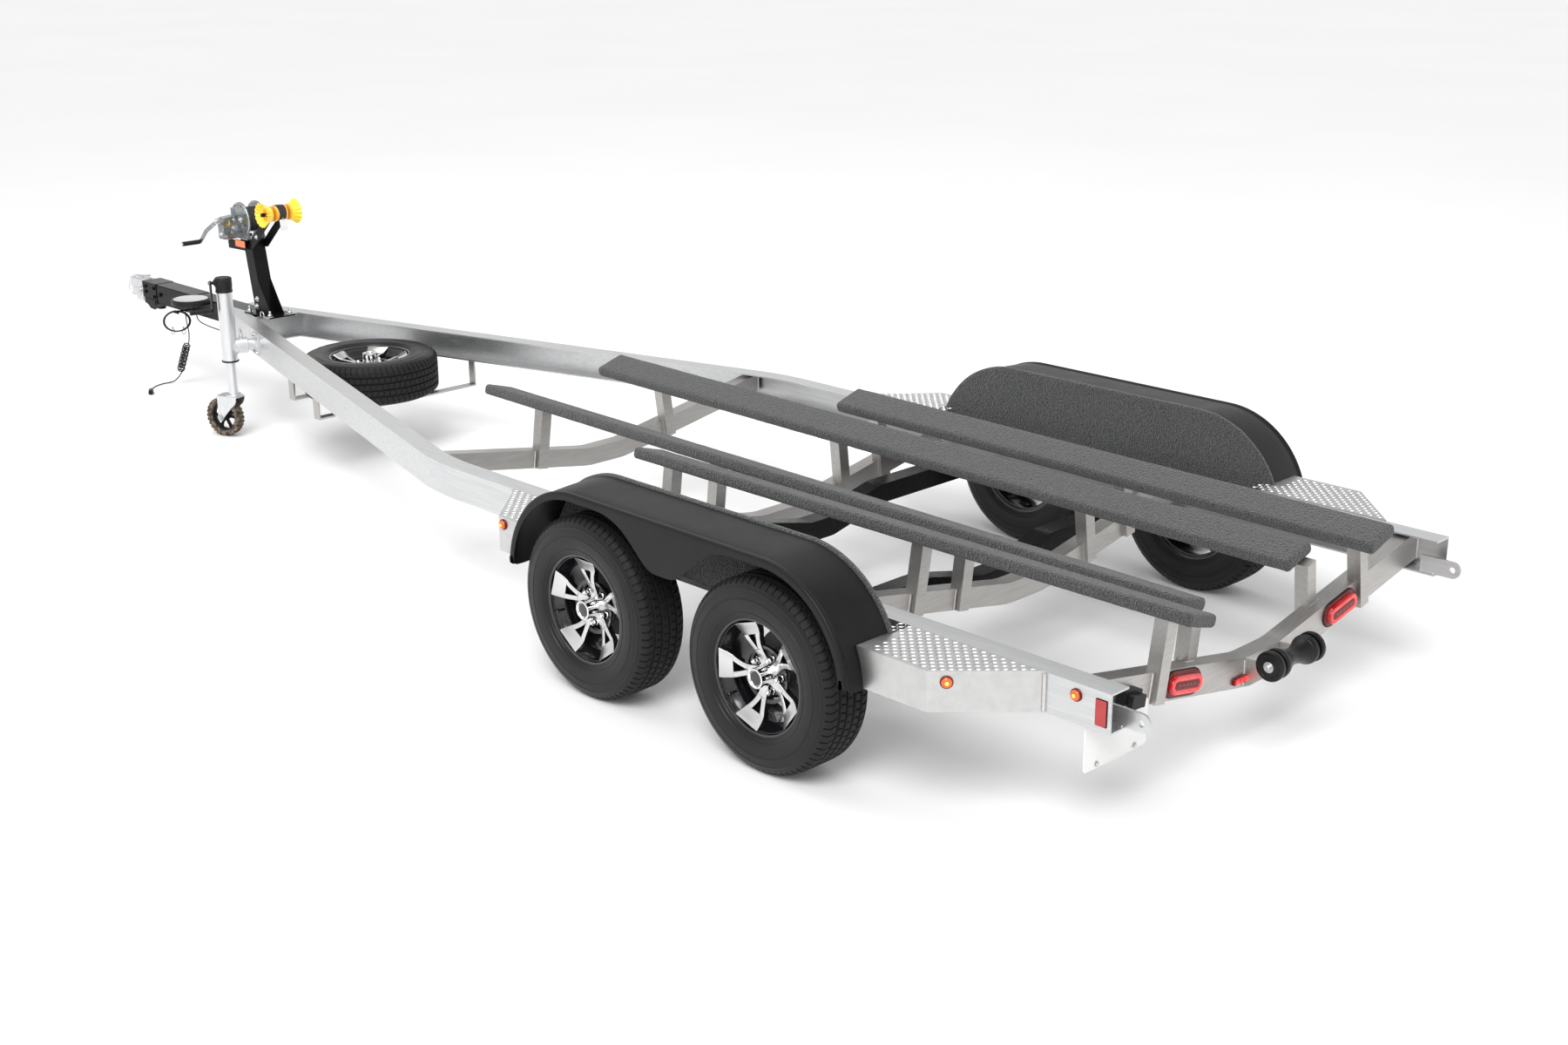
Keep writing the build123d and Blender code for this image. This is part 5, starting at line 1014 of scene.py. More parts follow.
for side in (1, -1):
    place = axes((KEEL_X, 0, KEEL_Z), (0, side, 0), (0, 0, 1))
    roller.lathe([(9, 106), (44, 106), (48.6, 108), (50, 112), (50, 122), (48, 127), (43, 129.6), (36, 129.6),
                  (35, 128.4), (22, 128.4), (20, 129.8), (9, 129.8)], place, 72, 0, closed=True)
roller.make("keel_roller_piece", "keel_stop", "black_rubber", ("keel_roller",), smooth=40)

beads = Form("weld")
# Each row: crossmember rear X, depth, top at the webs, Y of the web's inner face.
CROSS_ENDS = [(112.0, 100.0, 519.0, 959.0), (1078.0, 76.0, 517.0, 959.0), (2308.0, 76.0, 476.0, 959.0),
              (3378.0, 76.0, 513.0, 908.0)]
for side in (1, -1):
    for x, depth, top, y in CROSS_ENDS:
        low = max(404.0, top - depth)
        high = min(515.0, top)
        for edge in (x - 1.5, x + 65.5):
            weld(beads, (edge, side * (y - 2), low), (edge, side * (y - 2), high), 4.5)
    for x in (236.0, 2749.0):
        weld(beads, (x, side * 967.5, 399), (x, side * 967.5, 521), 7.5, pitch=8.0)
    for y in (900.5, 889.5):
        weld(beads, (5, side * y, 403.5), (56, side * y, 403.5), 4.0)
beads.make("welds", "frame", "frame_aluminium", smooth=70)


# ---------------- welds of the bunk posts
seams = Form("weld")
# Each row: crossmember rear X, depth, middle top, rise, post's foot |y|, lean of the post.
POST_FEET = [(112.0, 100.0, 350.0, 0.1956, 590.0, 0.18), (1078.0, 76.0, 350.0, 0.1933, 590.0, 0.17),
             (2308.0, 76.0, 315.0, 0.1863, 590.0, 0.14), (1078.0, 76.0, 350.0, 0.1933, 358.0, 0.13),
             (2308.0, 76.0, 315.0, 0.1863, 358.0, 0.11), (3378.0, 76.0, 370.0, 0.176, 358.0, 0.13)]
for side in (1, -1):
    for x, depth, top, rise, foot, lean in POST_FEET:
        for edge in (-26.5, 26.5):
            y, shift = foot + edge, lean * depth / 2
            high = top + rise * (y - CROSS_FLAT)
            weld(seams, (x - 1, side * (y + shift), high - depth + 4),
                 (x - 1, side * (y - shift), high - 2), 4.2)
    height = 350 + CROSS_RISE * (358 - CROSS_FLAT)
    for x in (152.0, 188.0):
        weld(seams, (x, side * 332, height - 5), (x, side * 384, height + 5), 4.0)
seams.make("post_welds", "frame", "frame_aluminium", smooth=70)


# ---------------- jack
JACK_FOOT = (5806.0, 399.66, 0.0)
ALONG_RAIL, OUT_OF_RAIL = (0.9630, -0.2696, 0.0), (0.2696, 0.9630, 0.0)
JACK_PIVOT_Z, JACK_CRANK_Z, JACK_WHEEL_Z, JACK_TRAIL = 462.0, 788.0, 100.0, 65.0
JACK_WHEEL_BLOCKS, JACK_GRIP_OUT = 28, 138.0
CASTER_TURN = 20.6
JACK = axes(JACK_FOOT, (0, 0, 1), ALONG_RAIL)
CASTER = Matrix.Translation(JACK_FOOT) @ Matrix.Rotation(radians(CASTER_TURN), 4, "Z")

for node in ("jack_mount", "jack_tube", "jack_fork", "jack_inner"):
    dress(node, "silver")


def beside_jack(out, z, up=OUT_OF_RAIL, hint=ALONG_RAIL):
    """A place some way out from the jack's middle line, its Z along a direction."""
    return axes((JACK_FOOT[0] + OUT_OF_RAIL[0] * out, JACK_FOOT[1] + OUT_OF_RAIL[1] * out, z), up, hint)


cap = Form("satin")
cap.lathe([(0, 738), (39, 738), (41.8, 738.6), (41.8, 746), (40.4, 748), (40.4, 764), (41.8, 766),
           (41.8, 803), (40.6, 808), (37, 811.2), (31, 812), (26, 811), (0, 811)], JACK, 64, 0)
cap.lathe([(24.4, 387), (39, 387), (42, 388.4), (42, 394.6), (39, 396), (24.4, 396)], JACK, 64, 0,
          closed=True)
for turn in (38, 142, 218, 322):
    boss = JACK @ Matrix.Rotation(radians(turn), 4, "Z") @ Matrix.Translation((37, 0, 0))
    cap.lathe([(0, 744), (6.2, 744), (6.2, 798), (4.6, 801), (0, 801)], boss, 16, 0)
collar = beside_jack(38, JACK_CRANK_Z, hint=(0, 0, 1))
cap.lathe([(8.6, 0), (17, 0), (17, 6), (14, 9), (8.6, 9)], collar, 32, 0, closed=True)
cap.make("jack_cap_piece", "jack_outer", "black_plastic", ("jack_cap",), bevel=0.5)

swivel = Form("silver", "zinc")
plate_face = beside_jack(-130, JACK_PIVOT_Z)
for along in (-28, 28):
    for up in (-42, 42):
        swivel.bolt(plate_face @ Matrix.Translation((along, -up, 0)), 15.0, 1)
swivel.lathe([(28.4, 0), (35, 0), (31, 5), (28.4, 8)], plate_face, 48, 0, closed=True)
swivel.make("jack_mount_bolts", "frame", bevel=0.4)

ring = Form("silver", "zinc", "gold")
arm_face = beside_jack(-88, JACK_PIVOT_Z)
ring.lathe([(30, -0.6), (38.4, -0.6), (39.6, 1.2), (39.6, 6), (38.2, 7.6), (36, 7.6)], arm_face, 56, 0)
plunger = beside_jack(-62, JACK_PIVOT_Z + 35, (0, 0, 1))
ring.lathe([(0, -1), (9.5, -1), (9.5, 20), (8, 22), (4.4, 22), (4.4, 34), (6.6, 35), (6.6, 40), (4, 42),
            (0, 42)],
           plunger, 24, 1)
pull = [(cos(radians(a)) * 13, 0, 44 + sin(radians(a)) * 11) for a in range(-60, 241, 20)]
ring.tube(pull, 1.6, 8, 2, place=plunger)
weld_rim = [(x, y, 48.5) for x, y in arc(35.1, 0, 361, 12)]
ring.tube(weld_rim, [3.2 + 0.5 * (k % 2) for k in range(len(weld_rim))], 8, 0, place=arm_face)
ring.make("jack_collar_piece", "jack_outer", bevel=0.4)

fork = Form("silver", "zinc")
fork.lathe([(24.6, 213.3), (38, 213.3), (39, 214.4), (39, 220.6), (37.6, 221.8), (24.6, 221.8)], CASTER, 56,
           0, closed=True)
for side in (1, -1):
    hub = CASTER @ Matrix.Translation((JACK_TRAIL, side * 37, JACK_WHEEL_Z))
    fork.bolt(hub @ Matrix.Rotation(-side * pi / 2, 4, "X"), 19.0, 1)
fork.make("jack_fork_bolts", "jack_caster", bevel=0.4)


def caster_wheel():
    """A dished wheel with open spokes and a block tread."""
    form = Form("satin", "dusty", "zinc")
    place = CASTER @ Matrix.Translation((JACK_TRAIL, 0, JACK_WHEEL_Z)) @ Matrix.Rotation(-pi / 2, 4, "X")
    form.lathe([(72, -18), (74, -23), (80, -24.6), (90, -24.4), (95, -21), (96, -16), (96, 16), (95, 21),
                (90, 24.4), (80, 24.6), (74, 23), (72, 18), (70, 8), (70, -8)], place, 72, 1, closed=True)
    form.lathe([(66, -14), (72.5, -15), (72.5, 15), (66, 14), (63, 9), (63, -9)], place, 60, 0, closed=True)
    form.lathe([(8.6, -24), (18, -24), (21, -20), (21, 20), (18, 24), (8.6, 24)], place, 40, 0, closed=True)
    form.lathe([(9, 24.2), (14, 24.2), (14, 26), (9, 26)], place, 24, 2, closed=True)
    for number in range(JACK_WHEEL_BLOCKS):
        for column, (low, high) in enumerate(((-24, -10), (-7, 7), (10, 24))):
            share = (number + 0.5 * (column % 2)) / JACK_WHEEL_BLOCKS
            turn = place @ Matrix.Rotation(2 * pi * share, 4, "Z")
            top = 99.6 if column == 1 else 98.6
            form.block((94, top), (-7.2, 7.2), (low, high), 1, turn)
    for number in range(6):
        turn = place @ Matrix.Rotation(2 * pi * number / 6, 4, "Z")
        form.prism([(17, -9), (40, -5), (66, -12), (66, 12), (40, 5), (17, 9)], -5, 5, turn, 0)
        form.block((19, 66), (-1.8, 1.8), (-11, 11), 0, turn)
    return form


caster_wheel().make("jack_wheel_piece", "jack_roller", "black_plastic", ("jack_wheel",), bevel=0.7)

crank = Form("satin", "rubber", "zinc")
crank_place = beside_jack(60, JACK_CRANK_Z, hint=(0, 0, -1))
crank.lathe([(0, -37), (8, -37), (8, -1), (12, 0), (12, 9), (9, 12), (0, 12)], crank_place, 32, 0)
crank.prism(arc(12, 90, 271, 15) + arc(11, -90, 91, 15, JACK_GRIP_OUT), 0.2, 7.8, crank_place, 0)
crank.bolt(crank_place @ Matrix.Translation((0, 0, 8)), 13.0, 2)
grip_place = crank_place @ Matrix.Translation((JACK_GRIP_OUT, 0, 8))
grip_line = [(0, -0.5), (6, -0.5), (6, 3), (12, 3), (12, 9)]
for ridge in range(14):
    start = 12 + ridge * 6.2
    grip_line += [(10.6, start), (11.9, start + 1.6), (11.9, start + 4.0), (10.6, start + 5.4)]
crank.lathe(grip_line + [(12, 100), (12, 104), (9.6, 107.4), (0, 107.8)], grip_place, 32, 1)
crank.make("jack_crank_piece", "jack_handle", "black_plastic", ("jack_crank",), bevel=0.6)


# ---------------- tongue, actuator and coupler
TONGUE_BOTTOM, TONGUE_TOP, TONGUE_MIDDLE = 421.0, 523.0, 472.0
ACTUATOR_X, LATCH_X = 6987.0, 7440.0
dress("coupler", "silver")
latch = Form("silver", "zinc", "satin")
for side in (1, -1):
    latch.bolt(flank(7385, 40, 470, side), 21.0, 1)
    latch.prism(rounded(92, 40, 12), -1, 3.4, flank(LATCH_X, 40, 452, side), 0)
latch.prism(rounded(120, 62, 16), 0, 5, axes((LATCH_X, 0, 519.4), (0, 0, 1), (1, 0, 0)), 0)
latch.lathe([(0, 0), (28, 0), (27, 9), (21, 16), (10, 19), (0, 19.6)], axes((7500, 0, 512), (0, 0, 1)), 40, 0)
latch.prism([(7352, 521), (7400, 521), (7440, 534), (7442, 539), (7392, 536), (7350, 530)], -13, 13,
            upright(0, 0, 0), 0)
for x in (7352, 7366):
    latch.block((x, x + 6), (-40, 40), (405, 519), 0)
latch.make("coupler_latch", "frame", "zinc_steel", bevel=1.2)
pin = Form("zinc")
pin_line = [(7405, 30, 545), (7405, 56, 545), (7412, 66, 541), (7430, 70, 528), (7462, 70, 498),
            (7478, 68, 474), (7474, 64, 452), (7452, 60, 440), (7424, 58, 436)]
pin.tube(pin_line, 2.2, 10, 0)
pin.lathe([(0, 0), (4.4, 0), (4.4, 62), (0, 62)], axes((7405, -31, 536), (0, 1, 0)), 16, 0)
pin.make("coupler_pin", "frame", smooth=60)

box_parts = Form("steel", "zinc")
for side in (1, -1):
    for x, z in ((7214, 500), (7214, 452), (7306, 500), (7306, 470)):
        box_parts.bolt(flank(x, 56, z, side), 15.0, 0)
    box_parts.prism(rounded(400, 92, 6), -6, 2.4, flank(ACTUATOR_X, 50, TONGUE_MIDDLE, side), 0)
    box_parts.prism(rounded(118, 30, 8), 0, 3.2, flank(7262, 56, 420, side), 0)
for z, up in ((TONGUE_TOP, 1), (TONGUE_BOTTOM, -1)):
    box_parts.prism(rounded(400, 104, 6), -1, 2.4, axes((ACTUATOR_X, 0, z), (0, 0, up), (1, 0, 0)), 0)
box_parts.tube([(7230, 34, 392), (7262, 34, 378), (7300, 34, 381), (7322, 34, 398)], 9, 14, 0)
box_parts.lathe([(0, 0), (24, 0), (24, 10), (20, 14), (0, 14)], axes((7246, 0, 388), (0, 0, -1)), 32, 0)
box_parts.lathe([(0, 0), (17, 0), (17, 9), (14, 12), (0, 12)], axes((7296, -18, 396), (0, 0, -1)), 32, 0)
for x in (6815, 7150):
    for side in (1, -1):
        box_parts.bolt(flank(x, 52.4, TONGUE_MIDDLE, side), 19.0, 0)
box_parts.make("actuator_parts", "frame", "black_steel", bevel=1.0)

pad = Form("rubber", "pad_white")
pad_place = axes((6613, 156, 518), (0, 0, 1), (1, 0, 0))
pad.lathe([(0, 0.4), (94, 0.4), (100, 2), (101.8, 6), (101.8, 26), (100, 30.4), (96, 31.8), (91, 31.8),
           (88.4, 30)],
          pad_place, 80, 0)
pad.lathe([(89, 30), (87, 30.4), (70, 31.2), (0, 31.6)], pad_place, 80, 1)
for row in range(-6, 7):
    out = row * 12.5
    reach = sqrt(80.0 ** 2 - out ** 2)
    pad.prism(rounded(2 * reach, 5.0, 2.2, 3, 2), 30.8, 32.0, pad_place @ Matrix.Translation((0, out, 0)), 1)
pad.make("foot_pad_piece", "frame", "black_rubber", ("foot_pad",), smooth=45)


# ---------------- winch
WINCH_X, WINCH_Z, WINCH_BASE_Z = 6209.0, 1002.0, 906.0
CRANK_X, CRANK_Z = 6283.0, 996.0
WINCH_PLATE, GEAR_TEETH, GEAR_HOLES = 88.0, 72, 24
HOUSING_X, CRANK_FACE_Y, CRANK_EDGE = 6240.0, 146.0, 10.6
STRAP_TURNS, STRAP_STEPS, STRAP_CORE, STRAP_BUILD = 14, 48, 30.0, 30.0


def punched(form, outline, holes, thickness, place, finish=0):
    """A flat plate with real holes, each an outline of its own."""
    data = bpy.data.curves.new("plate", "CURVE")
    data.dimensions, data.fill_mode, data.extrude = "2D", "BOTH", thickness / 2
    for ring in [outline] + holes:
        spline = data.splines.new("POLY")
        spline.points.add(len(ring) - 1)
        for point, (x, y) in zip(spline.points, ring):
            point.co = (x, y, 0, 1)
        spline.use_cyclic_u = True
    obj = bpy.data.objects.new("plate", data)
    mesh = bpy.data.meshes.new_from_object(obj)
    form.add([v.co + Vector((0, 0, thickness / 2)) for v in mesh.vertices],
             [tuple(face.vertices) for face in mesh.polygons], finish, place)
    bpy.data.objects.remove(obj)
    bpy.data.meshes.remove(mesh)
    bpy.data.curves.remove(data)


def circle(x, y, radius, count=24):
    """Points round a circle."""
    turns = [2 * pi * k / count for k in range(count)]
    return [(x + radius * cos(turn), y + radius * sin(turn)) for turn in turns]


def winch_plate(form, y):
    """One D-shaped side plate, with its lightening holes."""
    edge = arc(WINCH_PLATE, 40, 229, 4)
    outline = [(46, -96)] + edge + [(-69, -96)]
    holes = [circle(38, 67, 5), circle(-19, 67, 5), circle(-53, 29, 5), circle(-48, -24, 5),
             circle(-3, -61, 5), circle(0, 0, 12)]
    place = upright(WINCH_X, y, WINCH_Z)
    punched(form, outline, holes, 4.0, place, 0)
    # A rolled rim along the plate's round edge, in the brighter zinc finish: the rim is real, its brightness
    # is a painted highlight on the edge.
    form.tube([(u * 0.975, v * 0.975, 0 if y > 0 else 4) for u, v in edge], 2.4, 8, 1, place=place)


winch = Form("galvanised", "zinc", "gold", "satin")
winch_plate(winch, 49)
winch_plate(winch, -45)
foot_top = WINCH_BASE_Z + 4
face = upright(0, 0, 0)
band = [(WINCH_X + 44, WINCH_BASE_Z), (WINCH_X + 48, WINCH_BASE_Z), (WINCH_X + 71, 1058),
        (WINCH_X + 67, 1058)]
foot = [(WINCH_X - 69, WINCH_BASE_Z), (WINCH_X + 48, WINCH_BASE_Z), (WINCH_X + 48, foot_top),
        (WINCH_X - 69, foot_top)]
for side in (1, -1):
    winch.prism(band, -side * 48, -side * 62, face, 1)
    winch.prism(foot, -side * 48, -side * 60, face, 1)
    winch.lathe([(12, -1), (17, -1), (17, 4), (14, 7), (9, 7)],
                axes((WINCH_X, side * 49, WINCH_Z), (0, side, 0)), 32, 1)
winch.block((WINCH_X - 69, WINCH_X + 72), (-49, 49), (WINCH_BASE_Z, foot_top), 0)
for x in (WINCH_X - 50, WINCH_X + 40):
    for y in (-24, 24):
        winch.bolt(axes((x, y, foot_top), (0, 0, 1)), 15.0, 1)
# The tie is laid twice: laid once, the exported mesh moves by up to 0.05 mm.
for _ in range(2):
    winch.tube([(WINCH_X + 56, -46, 930), (WINCH_X + 56, 46, 930)], 6, 14, 1)
housing = axes((HOUSING_X, 0, 0), (1, 0, 0), (0, 1, 0))
for top, low, high in ((1022, 0, 3), (1020, 3, 56)):
    winch.prism([(49, 905), (127, 905), (130, 908), (130, 1000), (120, 1014), (60, top), (49, top)], low,
                high, housing, 0)
winch.prism([(46, 912), (124, 912), (124, 1004), (60, 1012), (46, 1012)], 56, 59, housing, 0)
winch.lathe([(8.6, 0), (17, 0), (17, 5), (13, 8), (8.6, 8)], axes((CRANK_X, 130, CRANK_Z), (0, 1, 0)), 32, 1)
pawl_face = axes((HOUSING_X, 100, 982), (-1, 0, 0), (0, 1, 0))
winch.prism([(-22, 8), (-6, 14), (16, 10), (24, -4), (14, -10), (2, -2), (-14, -6), (-24, -2)], 1, 6,
            pawl_face, 2)
winch.lathe([(0, 0), (7, 0), (7, 9), (5, 11), (0, 11)], pawl_face, 24, 1)
spring = []
for step in range(85):
    turn = 2 * pi * step / 12
    spring.append((cos(turn) * 6, -20 + step * 0.28, 9 + sin(turn) * 6))
winch.tube(spring, 1.1, 6, 2, place=pawl_face)
for y, z, size in ((68, 958, 21.0), (82, 938, 11.0), (66, 1000, 13.0), (118, 920, 11.0)):
    winch.bolt(axes((HOUSING_X, y, z), (-1, 0, 0), (0, 1, 0)), size, 1)
winch.bolt(flank(6268, 130, 930), 13.0, 1)
winch.make("winch_frame_piece", "frame", "zinc_steel", ("winch_frame",), bevel=0.7)

reel = Form("strap", "galvanised", "zinc")
reel_place = flank(WINCH_X, 0, WINCH_Z)
teeth = []
for tooth in range(GEAR_TEETH):
    for part, radius in ((0.0, 86.0), (0.22, 86.0), (0.36, 90.6), (0.66, 90.6), (0.8, 86.0)):
        turn = 2 * pi * (tooth + part) / GEAR_TEETH
        teeth.append((radius * cos(turn), radius * sin(turn)))
holes = [circle(x, y, 4, 14) for x, y in circle(0, 0, 72, GEAR_HOLES)]
for outline, height in ((teeth, 41.6), (circle(0, 0, 88, 96), -43.4)):
    punched(reel, outline, holes, 1.8, reel_place @ Matrix.Translation((0, 0, height)), 1)
wound = []
for step in range(STRAP_TURNS * STRAP_STEPS + 1):
    turn = 2 * pi * step / STRAP_STEPS
    radius = STRAP_CORE + STRAP_BUILD * step / (STRAP_TURNS * STRAP_STEPS)
    drift = 1.2 * noise.noise(Vector((step * 0.02, 0, 3)))
    section = [(radius + out, across + drift) for out, across in
               ((0, -36), (1.7, -36), (1.9, 0), (1.7, 36), (0, 36), (0.2, 0))]
    wound.append([(r * cos(turn), r * sin(turn), z) for r, z in section])
reel.grid(wound, 0, reel_place, loop_columns=True)
for row in (wound[0], wound[-1]):
    reel.add(row, [tuple(range(6))], 0, reel_place)
reel.lathe([(0, -38), (30, -38), (30, 38), (0, 38)], reel_place, 40, 1)
reel.lathe([(0, -55), (7, -55), (8, -54), (8, 54), (7, 55), (0, 55)], reel_place, 28, 2)
for flip in (0, pi):
    nut = reel_place @ Matrix.Rotation(flip, 4, "X") @ Matrix.Translation((0, 0, 55))
    reel.bolt(nut, 13.0, 2, washer=False, tall=6)
reel.make("winch_drum_piece", "winch_reel", "webbing", ("winch_drum",), smooth=30)

handle = Form("galvanised", "zinc", "rubber")
arm_face = upright(CRANK_X, CRANK_FACE_Y, CRANK_Z)
knee, end = Vector((126, -70)), Vector((190, -128))
middle_line = [Vector((0, 0)), Vector((112, -60)), knee, Vector((136, -80)), end]
upper, lower = [], []
for index, point in enumerate(middle_line):
    before, after = middle_line[max(0, index - 1)], middle_line[min(len(middle_line) - 1, index + 1)]
    along = (after - before).normalized()
    side_way = Vector((-along.y, along.x)) * CRANK_EDGE
    upper.append(tuple(point + side_way))
    lower.append(tuple(point - side_way))
start_arc, end_arc = arc(CRANK_EDGE, 77, 227, 15), arc(CRANK_EDGE, -120, 31, 15, end.x, end.y)
handle.prism(start_arc + lower[1:4] + end_arc + upper[3:0:-1], 0.2, 7.8, arm_face, 0)
hub = axes((CRANK_X, 111, CRANK_Z), (0, 1, 0))
handle.lathe([(0, 0), (8, 0), (8, 26), (12.5, 26.6), (12.5, 35), (0, 35)], hub, 32, 1)
handle.bolt(hub @ Matrix.Translation((0, 0, 34)), 16.0, 1)
grip = axes((CRANK_X + end.x, CRANK_FACE_Y, CRANK_Z + end.y), (0, 1, 0))
line = [(0, -9), (5, -9), (5, 1), (11.4, 2), (12, 5)]
for ridge in range(15):
    start = 6 + ridge * 5.8
    line += [(10.8, start), (12.0, start + 1.5), (12.0, start + 3.8), (10.8, start + 5.2)]
handle.lathe(line + [(12, 95), (11, 98), (7.5, 98.6)], grip, 32, 2)
handle.lathe([(8, 97.4), (7.6, 100), (5, 101.6), (0, 102)], grip, 24, 1)
handle.make("winch_crank_piece", "winch_handle", "zinc_steel", ("winch_crank",), bevel=0.7)


# ---------------- bow roller and its yoke
ROLLER_X, ROLLER_Z = 5910.0, 1066.0
FLUTES = 16
# Each row: where a wrap of the strap starts across the spool, its width, its radius, how far it wanders.
STRAP_WRAPS = [(-20.0, 34.0, 38.8, 0.0), (-23.0, 40.0, 40.0, 3.0), (-18.0, 35.0, 41.6, -4.0)]


def bell(side):
    """A flared, fluted bell of clear yellow plastic and its orange neck."""
    form = Form("urethane", "urethane_neck")
    place = flank(ROLLER_X, 0, ROLLER_Z, side)
    outer = [(40, 57, 0.0), (41, 60, 0.1), (43.6, 66, 0.35), (47, 73, 0.6), (51, 80, 0.8), (55.4, 87, 0.95),
             (59.6, 93, 1.0), (62.6, 96.6, 1.0), (64, 98, 1.0), (63.2, 98.8, 1.0)]
    inner = [(60, 98.2, 0.9), (57, 95, 0.9), (52.4, 89, 0.9), (46.5, 82, 0.8), (40, 76, 0.6), (32, 72, 0.35),
             (24, 71, 0.1), (10.4, 71, 0.0)]
    count = FLUTES * 8
    rows = []
    for step in range(count):
        turn = 2 * pi * step / count
        flute = 0.5 - 0.5 * cos(FLUTES * turn)
        row = []
        for radius, z, reach in outer + inner:
            r = radius - 5.4 * reach * flute ** 1.5
            row.append((r * cos(turn), r * sin(turn), z))
        rows.append(row)
    form.grid(rows, 0, place, loop_rows=True)
    form.lathe([(10.4, 49), (39.4, 49), (40, 50), (40, 52), (38.4, 53), (38.4, 55), (40, 56), (40, 58),
                (30, 64), (10.4, 64)], place, 72, 1, closed=True)
    for rib in range(8):
        web = place @ Matrix.Rotation(2 * pi * rib / 8, 4, "Z")
        form.prism([(11, 67), (28, 70), (32, 74), (23, 80), (11, 82)], -1.4, 1.4,
                   web @ Matrix.Rotation(pi / 2, 4, "X"), 1)
    return form


for side, word in SIDES:
    bell(side).make(f"bow_bell_{word}", "bow_stop", "yellow_plastic", ("bow_roller",), smooth=50)

wrap = Form("strap", "plate_white", "zinc", "urethane_neck")
spool = flank(ROLLER_X, 0, ROLLER_Z)
for start, width, radius, tilt in STRAP_WRAPS:
    rows = []
    for step in range(96):
        turn = 2 * pi * step / 96
        slide = tilt * sin(turn)
        ripple = 0.5 * noise.noise(Vector((cos(turn) * 3, sin(turn) * 3, radius)))
        row = [(r * cos(turn), r * sin(turn), start + across * width + slide)
               for r, across in ((radius - 1.4, 0), (radius + ripple, 0.02), (radius + 0.3 + ripple, 0.25),
                                 (radius + 0.5 + ripple, 0.5), (radius + 0.3 + ripple, 0.75),
                                 (radius + ripple, 0.98), (radius - 1.4, 1))]
        rows.append(row)
    wrap.grid(rows, 0, spool, loop_rows=True, loop_columns=True)
wrap.lathe([(10.4, -33), (38.6, -33), (39.4, -32), (39.4, 32), (38.6, 33), (10.4, 33)], spool, 64, 3,
           closed=True)
tag = []
for step in range(9):
    down = step / 8
    bend = 5.0 * sin(down * 2.2)
    tag.append([(ROLLER_X - 38 - bend, y, ROLLER_Z - 27 - 54 * down) for y in (-21, -10, 0, 10, 21)])
wrap.grid(tag, 1)
wrap.grid([[(x - 0.9, y, z) for x, y, z in row] for row in tag], 1)
edge = tag[0] + [row[-1] for row in tag[1:]] + tag[-1][-2::-1] + [row[0] for row in tag[-2:0:-1]]
wrap.grid([edge, [(x - 0.9, y, z) for x, y, z in edge]], 1, None, loop_columns=True)
wrap.tube([(ROLLER_X - 36, 0, ROLLER_Z - 20), (ROLLER_X - 41, 0, ROLLER_Z - 26),
           (ROLLER_X - 43, 0, ROLLER_Z - 31), (ROLLER_X - 37, 0, ROLLER_Z - 33)], 1.3, 8, 2)
wrap.make("bow_strap_wrap", "bow_stop", "webbing", ("bow_spool",), smooth=50)

yoke = Form("zinc", "steel", "orange", "satin")
for side in (1, -1):
    yoke.bolt(flank(6072, 44, 929, side), 13.0, 0)
yoke.prism([(6166, 848), (6334, 843), (6338, 884), (6300, 893), (6166, 893)], -58, -53, upright(0, 0, 0), 1)
yoke.block((6170, 6250), (40, 56), (888, 893), 1)
reflector = flank(WINCH_X, 58, 880)
yoke.prism(rounded(96, 38, 3), 0, 2, reflector, 3)
yoke.prism(rounded(92, 34, 3), 2, 6, reflector, 2)
yoke.make("yoke_bolts", "frame", bevel=0.7)

post = Form("steel", "zinc", "satin")
for x in (5982, 6180):
    for y in (-58, 58):
        stud = axes((x, y, 529), (0, 0, 1))
        post.bolt(stud, 21.0, 1)
        post.lathe([(0, 0), (6, 0), (6, 30), (5, 31.4), (0, 31.4)], stud, 20, 1)
for side in (1, -1):
    for x, z in ((6136, 560), (6128, 600)):
        post.bolt(flank(x, 38, z, side), 15.0, 1)
shackle = [(x, 86, z) for x, z in arc(17, -40, 221, 20, 6010, 540)]
post.tube(shackle, 3.4, 10, 1)
for link_number in range(5):
    middle = Vector((5996 - link_number * 13, 84 + 2 * link_number, 531 + 1.5 * (link_number % 2)))
    flat = link_number % 2
    loop = []
    for step in range(17):
        a = 2 * pi * step / 16
        along, cross = 9.5 * cos(a), 5.2 * sin(a)
        loop.append(middle + Vector((along, 0.9 * cross if flat else 0, 0.2 * cross if flat else cross)))
    post.tube(loop, 2.2, 8, 1, caps=False)
post.make("post_hardware", "frame", bevel=0.8)


# ---------------- safety cables and brake line
CABLE_RADIUS = 3.2
CABLE_HUNG = (6860.0, 118.0, 435.4)
CABLE_ACROSS, CABLE_OUT = Vector((0.4305, 0.9026, 0)), Vector((0.9026, -0.4305, 0))
CABLE_TURNS, CABLE_STEPS = 4, 20
# Half-width and half-height of the hanging loops as they go round.
CABLE_SIZES = [(62, 50), (71, 58), (65, 53), (74, 60), (66, 54)]
BRAKE_LINE = [(6770, 47, 421), (6770, 47, 409), (6756, 49, 394), (6726, 52, 386), (6670, 56, 381),
              (6590, 62, 379.5), (6510, 67, 381), (6450, 71, 379), (6414, 75, 376), (6397, 78, 379),
              (6390, 79, 385), (6390, 79, 396)]


